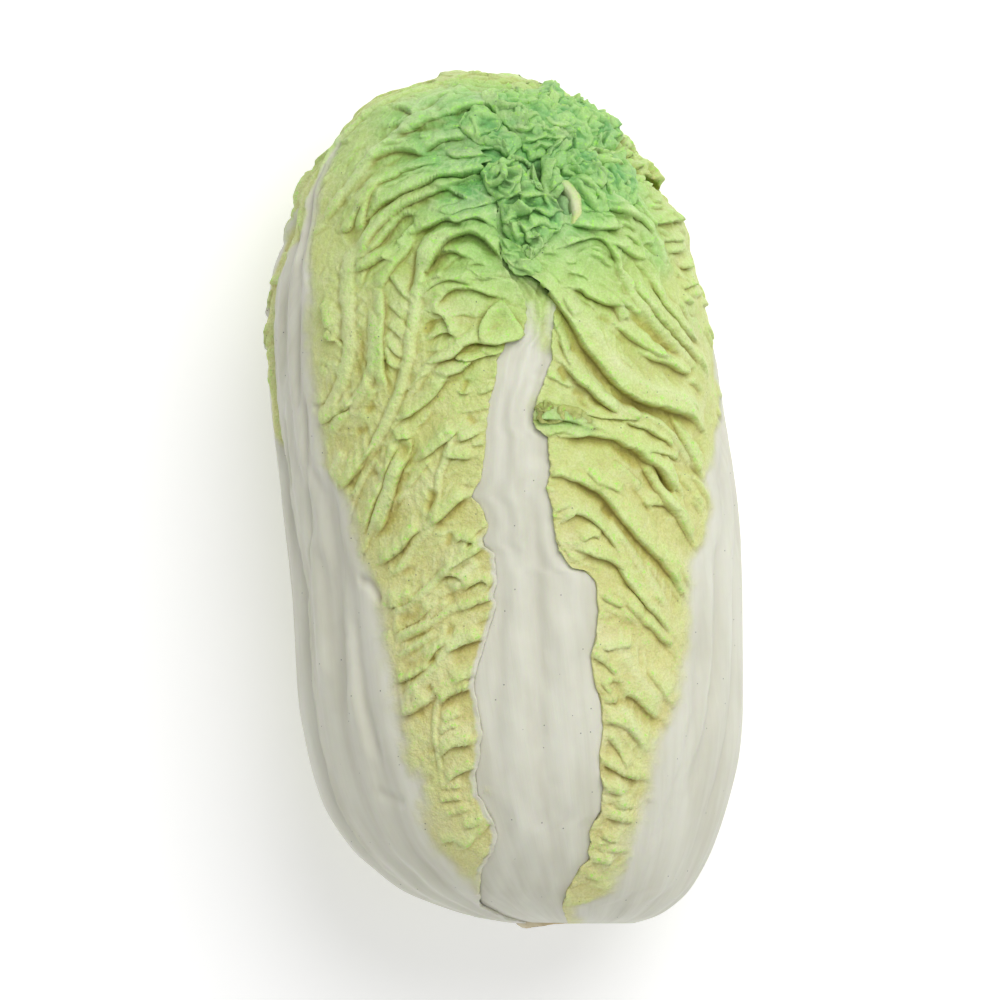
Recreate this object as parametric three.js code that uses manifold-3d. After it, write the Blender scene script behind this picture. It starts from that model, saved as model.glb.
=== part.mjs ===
// A whole napa cabbage lying on its back, +Y towards the crown and +Z up.
// The head is a leaning, tilted egg. Every leaf is a thick sheet wrapped round it: three outermost
// leaves lie over three more, and those lie over the dense heart, whose frills fill the crown.
// Every place on the head has an angle round the axis (0 at the top, +90 on the +X side) and a
// reach along it (0 at the cut butt, 1 at the middle of the crown). Lengths are millimetres.
import * as THREE from 'three';
import { mergeVertices } from 'three/addons/utils/BufferGeometryUtils.js';
import Module from 'manifold-3d';

// ---- Driving dimensions ----
const AXIS_HEIGHT = 70; // long axis above the surface, less than half the depth: a flat rests below
const DEPTH_RATIO = 0.93; // depth of the head over its width
const HALF_LENGTH = 150;
const HALF_WIDTH = 80;
const CENTRE = new THREE.Vector3(2, -5, AXIS_HEIGHT);
const BASE_LEAN = 8.7; // degrees that the butt points towards +X
const CROWN_LEAN = -4.4; // degrees, turned the other way round the vertical, so also towards +X
const CROWN_TILT = 24; // degrees that the crown looks up
const TILT_START = 70; // degrees from the butt where the tilt begins
const BOX_SHIFT = new THREE.Vector3(-0.2, -0.2, 0); // brings the middle of the model's box to the origin

// Half outline of the head seen from above: [y, left x, right x]
const OUTLINE = [
  [-150.2, 27.9, 27.9], [-148.8, 7.3, 42], [-145.2, -13.3, 53.2], [-141.7, -24.5, 58.5],
  [-136.5, -36.7, 64], [-129.5, -45.9, 68.6], [-122.5, -53.6, 72.1], [-105, -64.7, 78],
  [-87.5, -69.7, 81.9], [-70, -72.8, 83.1], [-35, -74.7, 83.1], [0, -78.7, 80.7],
  [35, -82.6, 75.6], [66.5, -83, 70.4], [80.5, -81.2, 66.2], [94.5, -75.2, 63.4],
  [108.5, -72.1, 55], [122.5, -63, 42.7], [133, -55, 34.6], [140, -46.9, 21.7],
  [147, -25.5, 2], [149.8, -14, -14],
];

const RIB_THICKNESS = 5.5; // of the outermost leaves
const LOWER_RIB_THICKNESS = 4.2; // of the leaves below them
const MARGIN_THICKNESS = 1.9;
const MARGIN_TAPER = 25; // width over which a leaf thins towards its margin
const OVERLAP_DEPTH = 7.2; // how far a covered leaf lies below the head's surface
const OVERLAP_RAMP = 8; // width over which it comes up once it is free
const HEART_DEPTH = 15.5;
const LEAF_GAP = 3; // depth of a lower leaf where the upper leaf's margin ends
const LEAF_START = 0.09; // reach where the outermost leaves leave the butt
const CROWN_REACH = 0.925; // reach where their tips end
const FOLD_DROP = 4; // width of the steep side of a fold
const FOLD_SCALE = 1.3; // how far the folds are puffed up
const FOLD_GROOVE = 0.5; // depth of the crease at its foot
const RELIEF_LIMIT = 4; // highest that folds stand together
const END_TAPER = 0.22; // share of a fold's line over which it fades out at each end

// Free margins of the two front leaves and the ends of their white ribs, as [x, y] seen from above
const LEFT_LEAF_MARGIN = [
  [11.5, 91], [8, 83.5], [4, 77], [6, 70], [7.5, 63.5], [6.5, 56.5], [0, 53], [-3, 48.5],
  [-3, 41.5], [-5, 35], [-6.5, 26], [-7, 16.5], [-8.5, 7.5], [-12, 1], [-8.5, -2], [-5.5, -9],
  [-8.5, -15.5], [-4, -18], [-3, -26], [-4, -33.5], [-5, -44], [-9, -56], [-11, -64], [-9, -72],
  [-8, -82], [-9, -89], [-11, -96.5], [-8.5, -103.5], [-4.5, -110], [-2.5, -115.5],
  [-4.5, -122.5], [-8.5, -129], [-9, -136.5],
];
const RIGHT_LEAF_MARGIN = [
  [13.5, 91], [10, 83.5], [10, 78.5], [14.5, 74], [16.5, 70], [17, 63], [16, 54], [16.5, 48.5],
  [13.5, 41.5], [11, 35], [10, 30], [10, 25], [14.5, 21.5], [15.5, 9], [14.5, 4], [16, -2],
  [17, -9], [18.5, -17], [23, -23.5], [29, -24.5], [32, -28.5], [32, -38.5], [32, -46],
  [29.5, -53.5], [31, -63], [33.5, -70], [34.5, -77], [33, -86], [34, -101.5], [33, -109],
  [29.5, -112.5], [29, -124.5], [25.5, -129], [21.5, -136.5], [20, -141.5],
];
const LEFT_RIB_END = [
  [-63, 112], [-66.5, 70], [-65.5, 35], [-62, 11.5], [-51, -11.5], [-44, -30.5], [-39.5, -56],
  [-33.5, -86], [-27.5, -107], [-24, -119.5], [-15.5, -127.5],
];
const RIGHT_RIB_END = [
  [73.5, 42], [69, 7], [68, -15.5], [63.5, -21], [63, -49], [59, -69], [49.5, -96], [41.5, -122.5],
  [35, -136.5], [23, -141.5],
];

// Margins on the hidden sides, as [reach, angle]
const LEFT_LEAF_BACK = [
  [0.1, -68], [0.45, -68], [0.5, -71], [0.6, -79], [0.7, -88], [0.74, -106], [0.8, -135],
  [0.85, -172], [0.9, -195], [0.93, -200],
];
const RIGHT_LEAF_BACK = [[0.1, 112], [0.5, 116], [0.7, 114], [0.8, 109], [0.85, 102], [0.93, 97]];
const BACK_LEAF_RIGHT = [[0.1, 134], [0.5, 136], [0.7, 134], [0.8, 127], [0.85, 117], [0.93, 106]];
const BACK_LEAF_LEFT = [
  [0.1, 232], [0.5, 236], [0.7, 234], [0.75, 224], [0.8, 204], [0.85, 177], [0.9, 158], [0.93, 152],
];

// Folds of the blades: a line [x, y] seen from above with the steep side on its lower side
const LEFT_FOLDS = [
  { height: 2, spread: 16, line: [[-20.5, 133], [-9, 137], [5, 137], [15, 136]] },
  { height: 1.5, spread: 14, line: [[-47, 119.5], [-37, 122], [-27.5, 120.5], [-15, 123.5]] },
  { height: 2.4, spread: 16, line: [[-42.5, 103], [-28.5, 109], [-12, 113.5], [1, 116.5]] },
  { height: 2, spread: 12, line: [[-30, 94], [-21.5, 97.5], [-7, 96]] },
  { height: 2.2, spread: 12, line: [[-23, 88], [-12, 93], [-2, 87]] },
  { height: 2, spread: 14, line: [[-48.5, 84.5], [-39.5, 95], [-32.5, 100.5]] },
  { height: 1.6, spread: 14, line: [[-44, 73], [-42.5, 56], [-41.5, 35]] },
  { height: 1.8, spread: 12, line: [[-28.5, 73], [-17.5, 74], [-3, 70.5]] },
  { height: 2.2, spread: 12, line: [[-23, 48.5], [-9, 55], [5, 56.5]] },
  { height: 2, spread: 14, line: [[-36.5, 28.5], [-26, 35.5], [-20.5, 42.5], [-10, 49]] },
  { height: 1.8, spread: 14, line: [[-35.5, 13.5], [-28.5, 15], [-21.5, 20], [-16.5, 24.5]] },
  { height: 1.8, spread: 16, line: [[-56, 4], [-51, 12], [-45.5, 19], [-37.5, 32]] },
  { height: 2, spread: 14, line: [[-44, -12], [-39.5, 0], [-37, 13.5]] },
  { height: 2.4, spread: 16, line: [[-43, -21], [-36, -14.5], [-28.5, -10], [-14.5, 0.5]] },
  { height: 2.2, spread: 16, line: [[-40, -37], [-31, -33.5], [-20, -24], [-8, -17]] },
  { height: 2, spread: 14, line: [[-37, -49], [-25, -42.5], [-13.5, -36.5], [-4, -33]] },
  { height: 2, spread: 14, line: [[-36, -63], [-26, -54], [-20, -50], [-8, -48]] },
  { height: 2, spread: 14, line: [[-36, -74], [-27.5, -70], [-20, -67.5], [-11.5, -64.5]] },
  { height: 2, spread: 14, line: [[-29.5, -90.5], [-22.5, -87.5], [-11, -83.5]] },
  { height: 1.8, spread: 12, line: [[-26, -100], [-17, -94.5], [-10.5, -92.5]] },
  { height: 1.6, spread: 12, line: [[-22.5, -118.5], [-14.5, -117.5], [-9.5, -112]] },
];
const RIGHT_FOLDS = [
  { height: 1.5, spread: 12, line: [[23, 95], [32.5, 94], [47, 97.5]] },
  { height: 2, spread: 16, line: [[47, 76], [54, 63], [62.5, 54], [69.5, 45]] },
  { height: 2.2, spread: 14, line: [[23, 73], [33, 69], [44, 65.5], [51.5, 59]] },
  { height: 2.6, spread: 18, line: [[18, 66.5], [26, 56], [35, 45], [42.5, 36], [57.5, 31.5], [68, 24.5]] },
  { height: 2, spread: 12, line: [[21.5, 45.5], [29.5, 39], [39, 30]] },
  { height: 2.4, spread: 14, line: [[19, 22], [32, 22.5], [47, 15.5], [59, 3.5]] },
  { height: 1.6, spread: 12, line: [[47, 14], [53, 3], [60.5, -4.5]] },
  { height: 1.6, spread: 12, line: [[55.5, -1.5], [61, -7.5], [65, -14]] },
  { height: 2.4, spread: 16, line: [[20.5, 8], [33, 2.5], [43, -9.5], [54, -21.5], [61, -31.5]] },
  { height: 2.2, spread: 16, line: [[23, -16.5], [39.5, -22], [48.5, -35.5], [58.5, -47]] },
  { height: 1.8, spread: 12, line: [[41.5, -35], [49.5, -42.5], [57.5, -51]] },
  { height: 2, spread: 14, line: [[34.5, -63.5], [42.5, -66.5], [53.5, -75.5]] },
  { height: 1.8, spread: 12, line: [[34.5, -82], [39, -84.5], [48, -87]] },
  { height: 1.8, spread: 12, line: [[34.5, -90.5], [40, -94.5], [46.5, -96.5]] },
  { height: 1.6, spread: 12, line: [[33, -107], [38, -109], [44, -111]] },
];
const LEFT_RAISED = new THREE.Vector2(-0.5, 1); // the raised side of the left leaf's folds
const RIGHT_RAISED = new THREE.Vector2(0.6, 1);

// ---- Small curves and the head's form ----
const clamp01 = (t) => Math.min(1, Math.max(0, t));
const smooth = (t) => clamp01(t) ** 2 * (3 - 2 * clamp01(t));
const radians = THREE.MathUtils.degToRad;
const degrees = THREE.MathUtils.radToDeg;

// A curve through [t, value] points that never overshoots them; outside them it stays level
function curveThrough(points) {
  const slopes = points.slice(1).map((p, i) => (p[1] - points[i][1]) / (p[0] - points[i][0]));
  const tangents = points.map((p, i) => {
    if (i === 0) return slopes[0];
    if (i === points.length - 1) return slopes[i - 1];
    const before = slopes[i - 1];
    const after = slopes[i];
    return before * after > 0 ? (2 * before * after) / (before + after) : 0;
  });
  return (t) => {
    const at = Math.min(points[points.length - 1][0], Math.max(points[0][0], t));
    let i = 0;
    while (i < points.length - 2 && points[i + 1][0] < at) i += 1;
    const step = points[i + 1][0] - points[i][0];
    const u = (at - points[i][0]) / step;
    const rise = u * u * (3 - 2 * u);
    return points[i][1] * (1 - rise) + points[i + 1][1] * rise
      + step * u * (1 - u) * ((1 - u) * tangents[i] - u * tangents[i + 1]);
  };
}

const halfWidthSquared = curveThrough(OUTLINE.map(([y, left, right]) => [y, ((right - left) / 2) ** 2]));
const middleOf = curveThrough(OUTLINE.map(([y, left, right]) => [y, (left + right) / 2]));
const Y_LOW = OUTLINE[0][0];
const Y_HIGH = OUTLINE[OUTLINE.length - 1][0];

// Below zero inside the head, above zero outside it
function field(point) {
  if (point.y <= Y_LOW || point.y >= Y_HIGH) return 1;
  const width = halfWidthSquared(point.y);
  const across = (point.x - middleOf(point.y)) ** 2 / width;
  const up = (point.z - AXIS_HEIGHT) ** 2 / (width * DEPTH_RATIO ** 2);
  return across + up - 1;
}

const X_AXIS = new THREE.Vector3(1, 0, 0);
const Z_AXIS = new THREE.Vector3(0, 0, 1);

// The turn that leans and tilts the head, at an angle from the butt
function turnAt(fromButt) {
  const tilt = radians(CROWN_TILT) * smooth((degrees(fromButt) - TILT_START) / (180 - TILT_START));
  const lean = radians(BASE_LEAN + ((CROWN_LEAN - BASE_LEAN) * fromButt) / Math.PI);
  const tilted = new THREE.Quaternion().setFromAxisAngle(X_AXIS, tilt);
  return new THREE.Quaternion().setFromAxisAngle(Z_AXIS, lean).multiply(tilted);
}

function directionTo(angle, reach) {
  const t = Math.PI * reach;
  const fromButt = Math.atan2(HALF_WIDTH * Math.sin(t), HALF_LENGTH * Math.cos(t));
  const flat = new THREE.Vector3(
    Math.sin(fromButt) * Math.sin(radians(angle)),
    -Math.cos(fromButt),
    Math.sin(fromButt) * Math.cos(radians(angle)),
  );
  return flat.applyQuaternion(turnAt(fromButt));
}

function surfacePoint(angle, reach) {
  const direction = directionTo(angle, reach);
  let inside = 0;
  let outside = 2 * HALF_LENGTH;
  for (let step = 0; step < 40; step += 1) {
    const middle = (inside + outside) / 2;
    if (field(CENTRE.clone().addScaledVector(direction, middle)) > 0) outside = middle;
    else inside = middle;
  }
  return CENTRE.clone().addScaledVector(direction, inside);
}

const NORMAL_STEP = 0.4;
function surfaceNormal(point) {
  const inner = CENTRE.clone().lerp(point, 0.998); // keeps the samples off the very ends
  const slope = (axis) => {
    const ahead = inner.clone();
    const behind = inner.clone();
    ahead[axis] += NORMAL_STEP;
    behind[axis] -= NORMAL_STEP;
    return field(ahead) - field(behind);
  };
  return new THREE.Vector3(slope('x'), slope('y'), slope('z')).normalize();
}

// A place on the upper side, given by its [x, y]
function topPoint([x, y]) {
  const halfWidth = Math.sqrt(halfWidthSquared(y));
  const across = THREE.MathUtils.clamp((x - middleOf(y)) / halfWidth, -0.999, 0.999);
  const z = AXIS_HEIGHT + halfWidth * DEPTH_RATIO * Math.sqrt(1 - across * across);
  return new THREE.Vector3(x, y, z);
}

// The [reach, angle] of a place on the upper side
function placeOf(point) {
  const direction = point.clone().sub(CENTRE).normalize();
  let fromButt = Math.acos(-direction.y);
  let flat = direction;
  for (let step = 0; step < 40; step += 1) {
    flat = direction.clone().applyQuaternion(turnAt(fromButt).invert());
    fromButt = Math.acos(-flat.y);
  }
  const t = Math.atan2(HALF_LENGTH * Math.sin(fromButt), HALF_WIDTH * Math.cos(fromButt));
  return [t / Math.PI, degrees(Math.atan2(flat.x, flat.z))];
}

// A line of [x, y] places as the angle at each reach, straight between its places
function marginOf(line) {
  const places = line.map((xy) => placeOf(topPoint(xy))).sort((a, b) => a[0] - b[0]);
  return (reach) => {
    if (reach <= places[0][0]) return places[0][1];
    const i = places.findIndex((place) => place[0] >= reach);
    if (i < 0) return places[places.length - 1][1];
    const share = (reach - places[i - 1][0]) / (places[i][0] - places[i - 1][0]);
    return THREE.MathUtils.lerp(places[i - 1][1], places[i][1], share);
  };
}

const ringRadius = (reach) => HALF_WIDTH * Math.sin(Math.PI * reach);
const arcLength = (angle, reach) => radians(angle) * ringRadius(reach);

// Distance of a place from a margin, measured square to the margin
function beyondMargin(difference, margin, reach) {
  const t = Math.PI * reach;
  const rate = Math.PI * Math.hypot(HALF_LENGTH * Math.sin(t), HALF_WIDTH * Math.cos(t));
  const step = 0.01;
  const sweep = arcLength(margin(reach + step) - margin(reach - step), reach) / (2 * step * rate);
  return arcLength(difference, reach) / Math.hypot(1, sweep);
}

// ---- Relief of the leaves ----
const foldCurves = (folds) => folds.map((fold) => ({ ...fold, points: fold.line.map(topPoint) }));

// Height that one fold adds: a long rise, a steep side and a crease at its foot
function foldHeight(point, fold, raised) {
  let best = { distance: Infinity };
  const count = fold.points.length - 1;
  for (let i = 0; i < count; i += 1) {
    const start = fold.points[i];
    const along = fold.points[i + 1].clone().sub(start);
    const share = clamp01(point.clone().sub(start).dot(along) / along.lengthSq());
    const offset = point.clone().sub(start.clone().addScaledVector(along, share));
    if (offset.length() < best.distance) {
      best = { distance: offset.length(), offset, along, at: (i + share) / count };
    }
  }
  const reach = Math.min(best.at, 1 - best.at) / END_TAPER;
  const across = new THREE.Vector2(-best.along.y, best.along.x);
  const side = Math.sign(across.dot(raised)) * Math.sign(across.x * best.offset.x + across.y * best.offset.y);
  if (side >= 0) return smooth(reach) * fold.height * (1 - smooth(best.distance / fold.spread));
  const foot = Math.exp(-(((best.distance - FOLD_DROP) / FOLD_DROP) ** 2));
  return smooth(reach) * (fold.height * (1 - smooth(best.distance / FOLD_DROP)) - FOLD_GROOVE * foot);
}

function foldRelief(point, folds, raised) {
  const total = FOLD_SCALE * folds.reduce((sum, fold) => sum + foldHeight(point, fold, raised), 0);
  return total > 0 ? RELIEF_LIMIT * Math.tanh(total / RELIEF_LIMIT) : total;
}

// Soft long flutes of a white rib between two angles
function flutes(angle, from, to, count, height) {
  const share = (angle - from) / (to - from);
  if (share <= 0 || share >= 1) return 0;
  return height * Math.sin(Math.PI * share) ** 0.5 * (0.5 - 0.5 * Math.cos(2 * Math.PI * count * share) - 0.5);
}

// Side veins that rise from a midrib and climb outwards
function sideVeins(angle, reach, midrib, ribHalf, pitch, height) {
  const away = Math.abs(arcLength(angle - midrib, reach)) - ribHalf(reach);
  const along = reach * Math.PI * 0.8 * HALF_LENGTH - 0.9 * Math.max(0, away);
  const wave = Math.cos((2 * Math.PI * along) / pitch);
  return height * smooth(away / 12) * wave;
}

// ---- Leaves as closed sheets, each square split along its shorter diagonal ----
const INNER_STEP = 2; // the inside has one column and row for every two outside

// base and relief: heights above the head's surface; rim: distance to the nearest margin
function leafMesh(leaf) {
  const { name, colour, columns, rows, start, tip, left, right } = leaf;
  const placeAt = (column, row) => {
    const u = column / columns;
    const reach = start + (tip(u) - start) * (row / rows);
    const angle = THREE.MathUtils.lerp(left(reach), right(reach), u);
    const point = surfacePoint(angle, reach);
    const fromSide = Math.min(arcLength(angle - left(reach), reach), arcLength(right(reach) - angle, reach));
    const fromTip = (tip(u) - reach) * Math.PI * HALF_WIDTH;
    return { angle, reach, point, normal: surfaceNormal(point), rim: Math.min(fromSide, fromTip) };
  };
  const outerCorner = (column, row) => {
    const place = placeAt(column, row);
    const corner = place.point.clone().addScaledVector(place.normal, leaf.base(place) + leaf.relief(place));
    corner.z = Math.max(0, corner.z); // what would sink into the surface is pressed flat
    return corner;
  };
  const innerCorner = (column, row) => {
    const place = placeAt(column, row);
    const thickness = MARGIN_THICKNESS
      + (leaf.thickness - MARGIN_THICKNESS) * smooth(place.rim / MARGIN_TAPER);
    return place.point.clone().addScaledVector(place.normal, leaf.base(place) - thickness);
  };

  const corners = [];
  const faces = [];
  const grid = (corner, step) => {
    const first = corners.length;
    const across = columns / step;
    const up = rows / step;
    for (let row = 0; row <= up; row += 1) {
      for (let column = 0; column <= across; column += 1) corners.push(corner(column * step, row * step));
    }
    return (column, row) => first + (row / step) * (across + 1) + column / step;
  };
  const outer = grid(outerCorner, 1);
  const inner = grid(innerCorner, INNER_STEP);
  const sheet = (index, step, outwards) => {
    for (let row = 0; row < rows; row += step) {
      for (let column = 0; column < columns; column += step) {
        const a = index(column, row);
        const b = index(column + step, row);
        const c = index(column + step, row + step);
        const d = index(column, row + step);
        const straight = corners[a].distanceTo(corners[c]) <= corners[b].distanceTo(corners[d]);
        const halves = straight ? [[a, b, c], [a, c, d]] : [[a, b, d], [b, c, d]];
        faces.push(...(outwards ? halves : halves.map((half) => half.reverse())));
      }
    }
  };
  sheet(outer, 1, true);
  sheet(inner, INNER_STEP, false);

  const rim = [];
  for (let column = 0; column < columns; column += 1) rim.push([column, 0]);
  for (let row = 0; row < rows; row += 1) rim.push([columns, row]);
  for (let column = columns; column > 0; column -= 1) rim.push([column, rows]);
  for (let row = rows; row > 0; row -= 1) rim.push([0, row]);
  for (let i = 0; i < rim.length; i += INNER_STEP) {
    const from = rim[i];
    const middle = rim[i + 1];
    const to = rim[(i + INNER_STEP) % rim.length];
    faces.push([inner(...from), outer(...middle), outer(...from)]);
    faces.push([inner(...from), inner(...to), outer(...middle)]);
    faces.push([inner(...to), outer(...to), outer(...middle)]);
  }
  return namedMesh(name, colour, solidGeometry(corners, faces));
}

function solidGeometry(corners, faces) {
  const geometry = new THREE.BufferGeometry();
  const values = corners.flatMap((corner) => corner.clone().add(BOX_SHIFT).toArray());
  geometry.setAttribute('position', new THREE.Float32BufferAttribute(values, 3));
  geometry.setIndex(faces.flat());
  return geometry;
}

function namedMesh(name, colour, geometry) {
  geometry.computeVertexNormals();
  const material = new THREE.MeshStandardMaterial({ color: colour, roughness: 0.6, metalness: 0 });
  const mesh = new THREE.Mesh(geometry, material);
  mesh.name = name;
  return mesh;
}

// How deep a leaf lies: deep under a neighbour, LEAF_GAP at the neighbour's margin, then free
const coverDepth = (beyond, free) => {
  if (beyond < 0) return LEAF_GAP + (OVERLAP_DEPTH - LEAF_GAP) * smooth(-beyond / OVERLAP_RAMP);
  return free + (LEAF_GAP - free) * (1 - smooth(beyond / OVERLAP_RAMP));
};

const leftMargin = marginOf(LEFT_LEAF_MARGIN);
const rightMargin = marginOf(RIGHT_LEAF_MARGIN);
const leftRibEnd = marginOf(LEFT_RIB_END);
const rightRibEnd = marginOf(RIGHT_RIB_END);
const leftBack = curveThrough(LEFT_LEAF_BACK);
const rightBack = curveThrough(RIGHT_LEAF_BACK);
const backRight = curveThrough(BACK_LEAF_RIGHT);
const backLeft = curveThrough(BACK_LEAF_LEFT);

const OUTER_LEAF_COLOUR = 0xbccb8a;
const RIB_COLOUR = 0xd8d6c6;

function leftLeaf() {
  const folds = foldCurves(LEFT_FOLDS);
  return leafMesh({
    name: 'leaf_left', colour: OUTER_LEAF_COLOUR, columns: 26, rows: 58,
    thickness: RIB_THICKNESS,
    start: LEAF_START, tip: () => CROWN_REACH, left: leftBack, right: leftMargin,
    base: () => 0,
    relief: ({ point, angle, reach }) => foldRelief(point, folds, LEFT_RAISED)
      + flutes(angle, leftBack(reach), leftRibEnd(reach), 3, 1.4),
  });
}

function rightLeaf() {
  const folds = foldCurves(RIGHT_FOLDS);
  return leafMesh({
    name: 'leaf_right', colour: OUTER_LEAF_COLOUR, columns: 32, rows: 50,
    thickness: RIB_THICKNESS,
    start: LEAF_START, tip: () => CROWN_REACH, left: rightMargin, right: rightBack,
    base: () => 0,
    relief: ({ point, angle, reach }) => foldRelief(point, folds, RIGHT_RAISED)
      + flutes(angle, rightRibEnd(reach), rightBack(reach) - 12, 4, 1.2),
  });
}

const CENTRE_LEAF_SIDES = [-45, 52];
const CENTRE_LEAF_TIP = 0.81;
function centreLeaf() {
  const [from, to] = CENTRE_LEAF_SIDES;
  return leafMesh({
    name: 'leaf_centre', colour: RIB_COLOUR, columns: 12, rows: 32,
    thickness: LOWER_RIB_THICKNESS,
    start: LEAF_START + 0.005, tip: (u) => CENTRE_LEAF_TIP - 0.12 * (2 * u - 1) ** 2,
    left: () => from, right: () => to,
    base: ({ angle, reach }) => {
      const beyondLeft = arcLength(angle - leftMargin(reach), reach);
      const beyondRight = arcLength(rightMargin(reach) - angle, reach);
      return -coverDepth(Math.min(beyondLeft, beyondRight), 2.2);
    },
    relief: ({ angle, reach }) => flutes(angle, leftMargin(reach), rightMargin(reach), 3, 0.9),
  });
}

const BACK_RIB_HALF = curveThrough([[0.1, 26], [0.35, 38], [0.6, 24], [0.8, 8], [0.93, 2]]);
function backLeaf() {
  const midrib = (reach) => (backLeft(reach) + backRight(reach)) / 2;
  return leafMesh({
    name: 'leaf_back', colour: OUTER_LEAF_COLOUR, columns: 20, rows: 32,
    thickness: RIB_THICKNESS,
    start: LEAF_START, tip: () => CROWN_REACH - 0.02, left: backRight, right: backLeft,
    base: () => 0,
    relief: ({ angle, reach }) => sideVeins(angle, reach, midrib(reach), BACK_RIB_HALF, 26, 0.9)
      + flutes(angle, midrib(reach) - 22, midrib(reach) + 22, 4, 0.8),
  });
}

const SIDE_RIB_HALF = curveThrough([[0.12, 24], [0.4, 34], [0.62, 14], [0.8, 4]]);
const SIDE_LEAF_TIP = 0.845;
const SIDE_LEAF_CLEARANCE = 5; // how far beyond a covering margin it stays low
const SHOULDER_REACH = 0.48; // from here the head curves so tightly that it lies deeper
const SHOULDER_DEPTH = 1.8;

// The two leaves that show between the outermost ones on the left and right of the back
function sideLeaf(name, from, to, midrib, nearSide, farSide) {
  return leafMesh({
    name, colour: RIB_COLOUR, columns: 14, rows: 28, thickness: LOWER_RIB_THICKNESS,
    start: LEAF_START + 0.03, tip: (u) => SIDE_LEAF_TIP - 0.1 * (2 * u - 1) ** 2,
    left: () => from, right: () => to,
    base: ({ angle, reach }) => {
      const beyondNear = beyondMargin(nearSide(reach) - angle, nearSide, reach);
      const beyondFar = beyondMargin(angle - farSide(reach), farSide, reach);
      const beyond = Math.min(beyondNear, beyondFar) - SIDE_LEAF_CLEARANCE;
      const shoulder = smooth((reach - SHOULDER_REACH) / 0.1) * (1 - smooth(beyond / OVERLAP_RAMP));
      return -coverDepth(beyond, 0.4) - SHOULDER_DEPTH * shoulder;
    },
    relief: ({ angle, reach }) => sideVeins(angle, reach, midrib, SIDE_RIB_HALF, 24, 0.7)
      + flutes(angle, farSide(reach), nearSide(reach), 2, 0.9),
  });
}

// ---- Heart and butt ----
const HEART_START = 0.2;
const HEART_RINGS = 16;
const HEART_SIDES = 28;
const HEART_TOP_DEPTH = 2;
const FRILL_THICKNESS = 1.5;
const FRILL_ROOT = 14; // how far a frill is sunk below the head's surface
const FRILL_COLUMNS = 8;
const FRILL_ROWS = 3;
const FRILL_RUFFLE = 1.6;
const FRILL_LEAN = 2.5; // how far the last row leans outwards
const FRILL_RINGS = [
  { radius: 4, count: 2, span: 150, height: 7, start: 20 },
  { radius: 9, count: 4, span: 78, height: 6, start: 55 },
  { radius: 12.6, count: 5, span: 62, height: 4.5, start: 10 },
];

const heartDepth = (reach) => HEART_DEPTH
  - (HEART_DEPTH - HEART_TOP_DEPTH) * smooth((reach - 0.905) / 0.06);

function heartCore() {
  const corners = [];
  const faces = [];
  for (let ring = 0; ring < HEART_RINGS; ring += 1) {
    const reach = HEART_START + ((0.985 - HEART_START) * ring) / (HEART_RINGS - 1);
    for (let side = 0; side < HEART_SIDES; side += 1) {
      const point = surfacePoint((360 * side) / HEART_SIDES, reach);
      corners.push(point.addScaledVector(surfaceNormal(point), -heartDepth(reach)));
    }
  }
  const bottom = corners.slice(0, HEART_SIDES);
  const low = bottom.reduce((sum, p) => sum.add(p), new THREE.Vector3()).divideScalar(HEART_SIDES);
  const top = surfacePoint(0, 1);
  corners.push(low, top.addScaledVector(surfaceNormal(top), -HEART_TOP_DEPTH));
  const lowIndex = corners.length - 2;
  const topIndex = corners.length - 1;
  for (let side = 0; side < HEART_SIDES; side += 1) {
    const next = (side + 1) % HEART_SIDES;
    for (let ring = 0; ring < HEART_RINGS - 1; ring += 1) {
      const near = ring * HEART_SIDES;
      const far = near + HEART_SIDES;
      faces.push([near + side, near + next, far + next], [near + side, far + next, far + side]);
    }
    const last = (HEART_RINGS - 1) * HEART_SIDES;
    faces.push([lowIndex, next, side], [topIndex, last + side, last + next]);
  }
  return solidGeometry(corners, faces);
}

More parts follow.
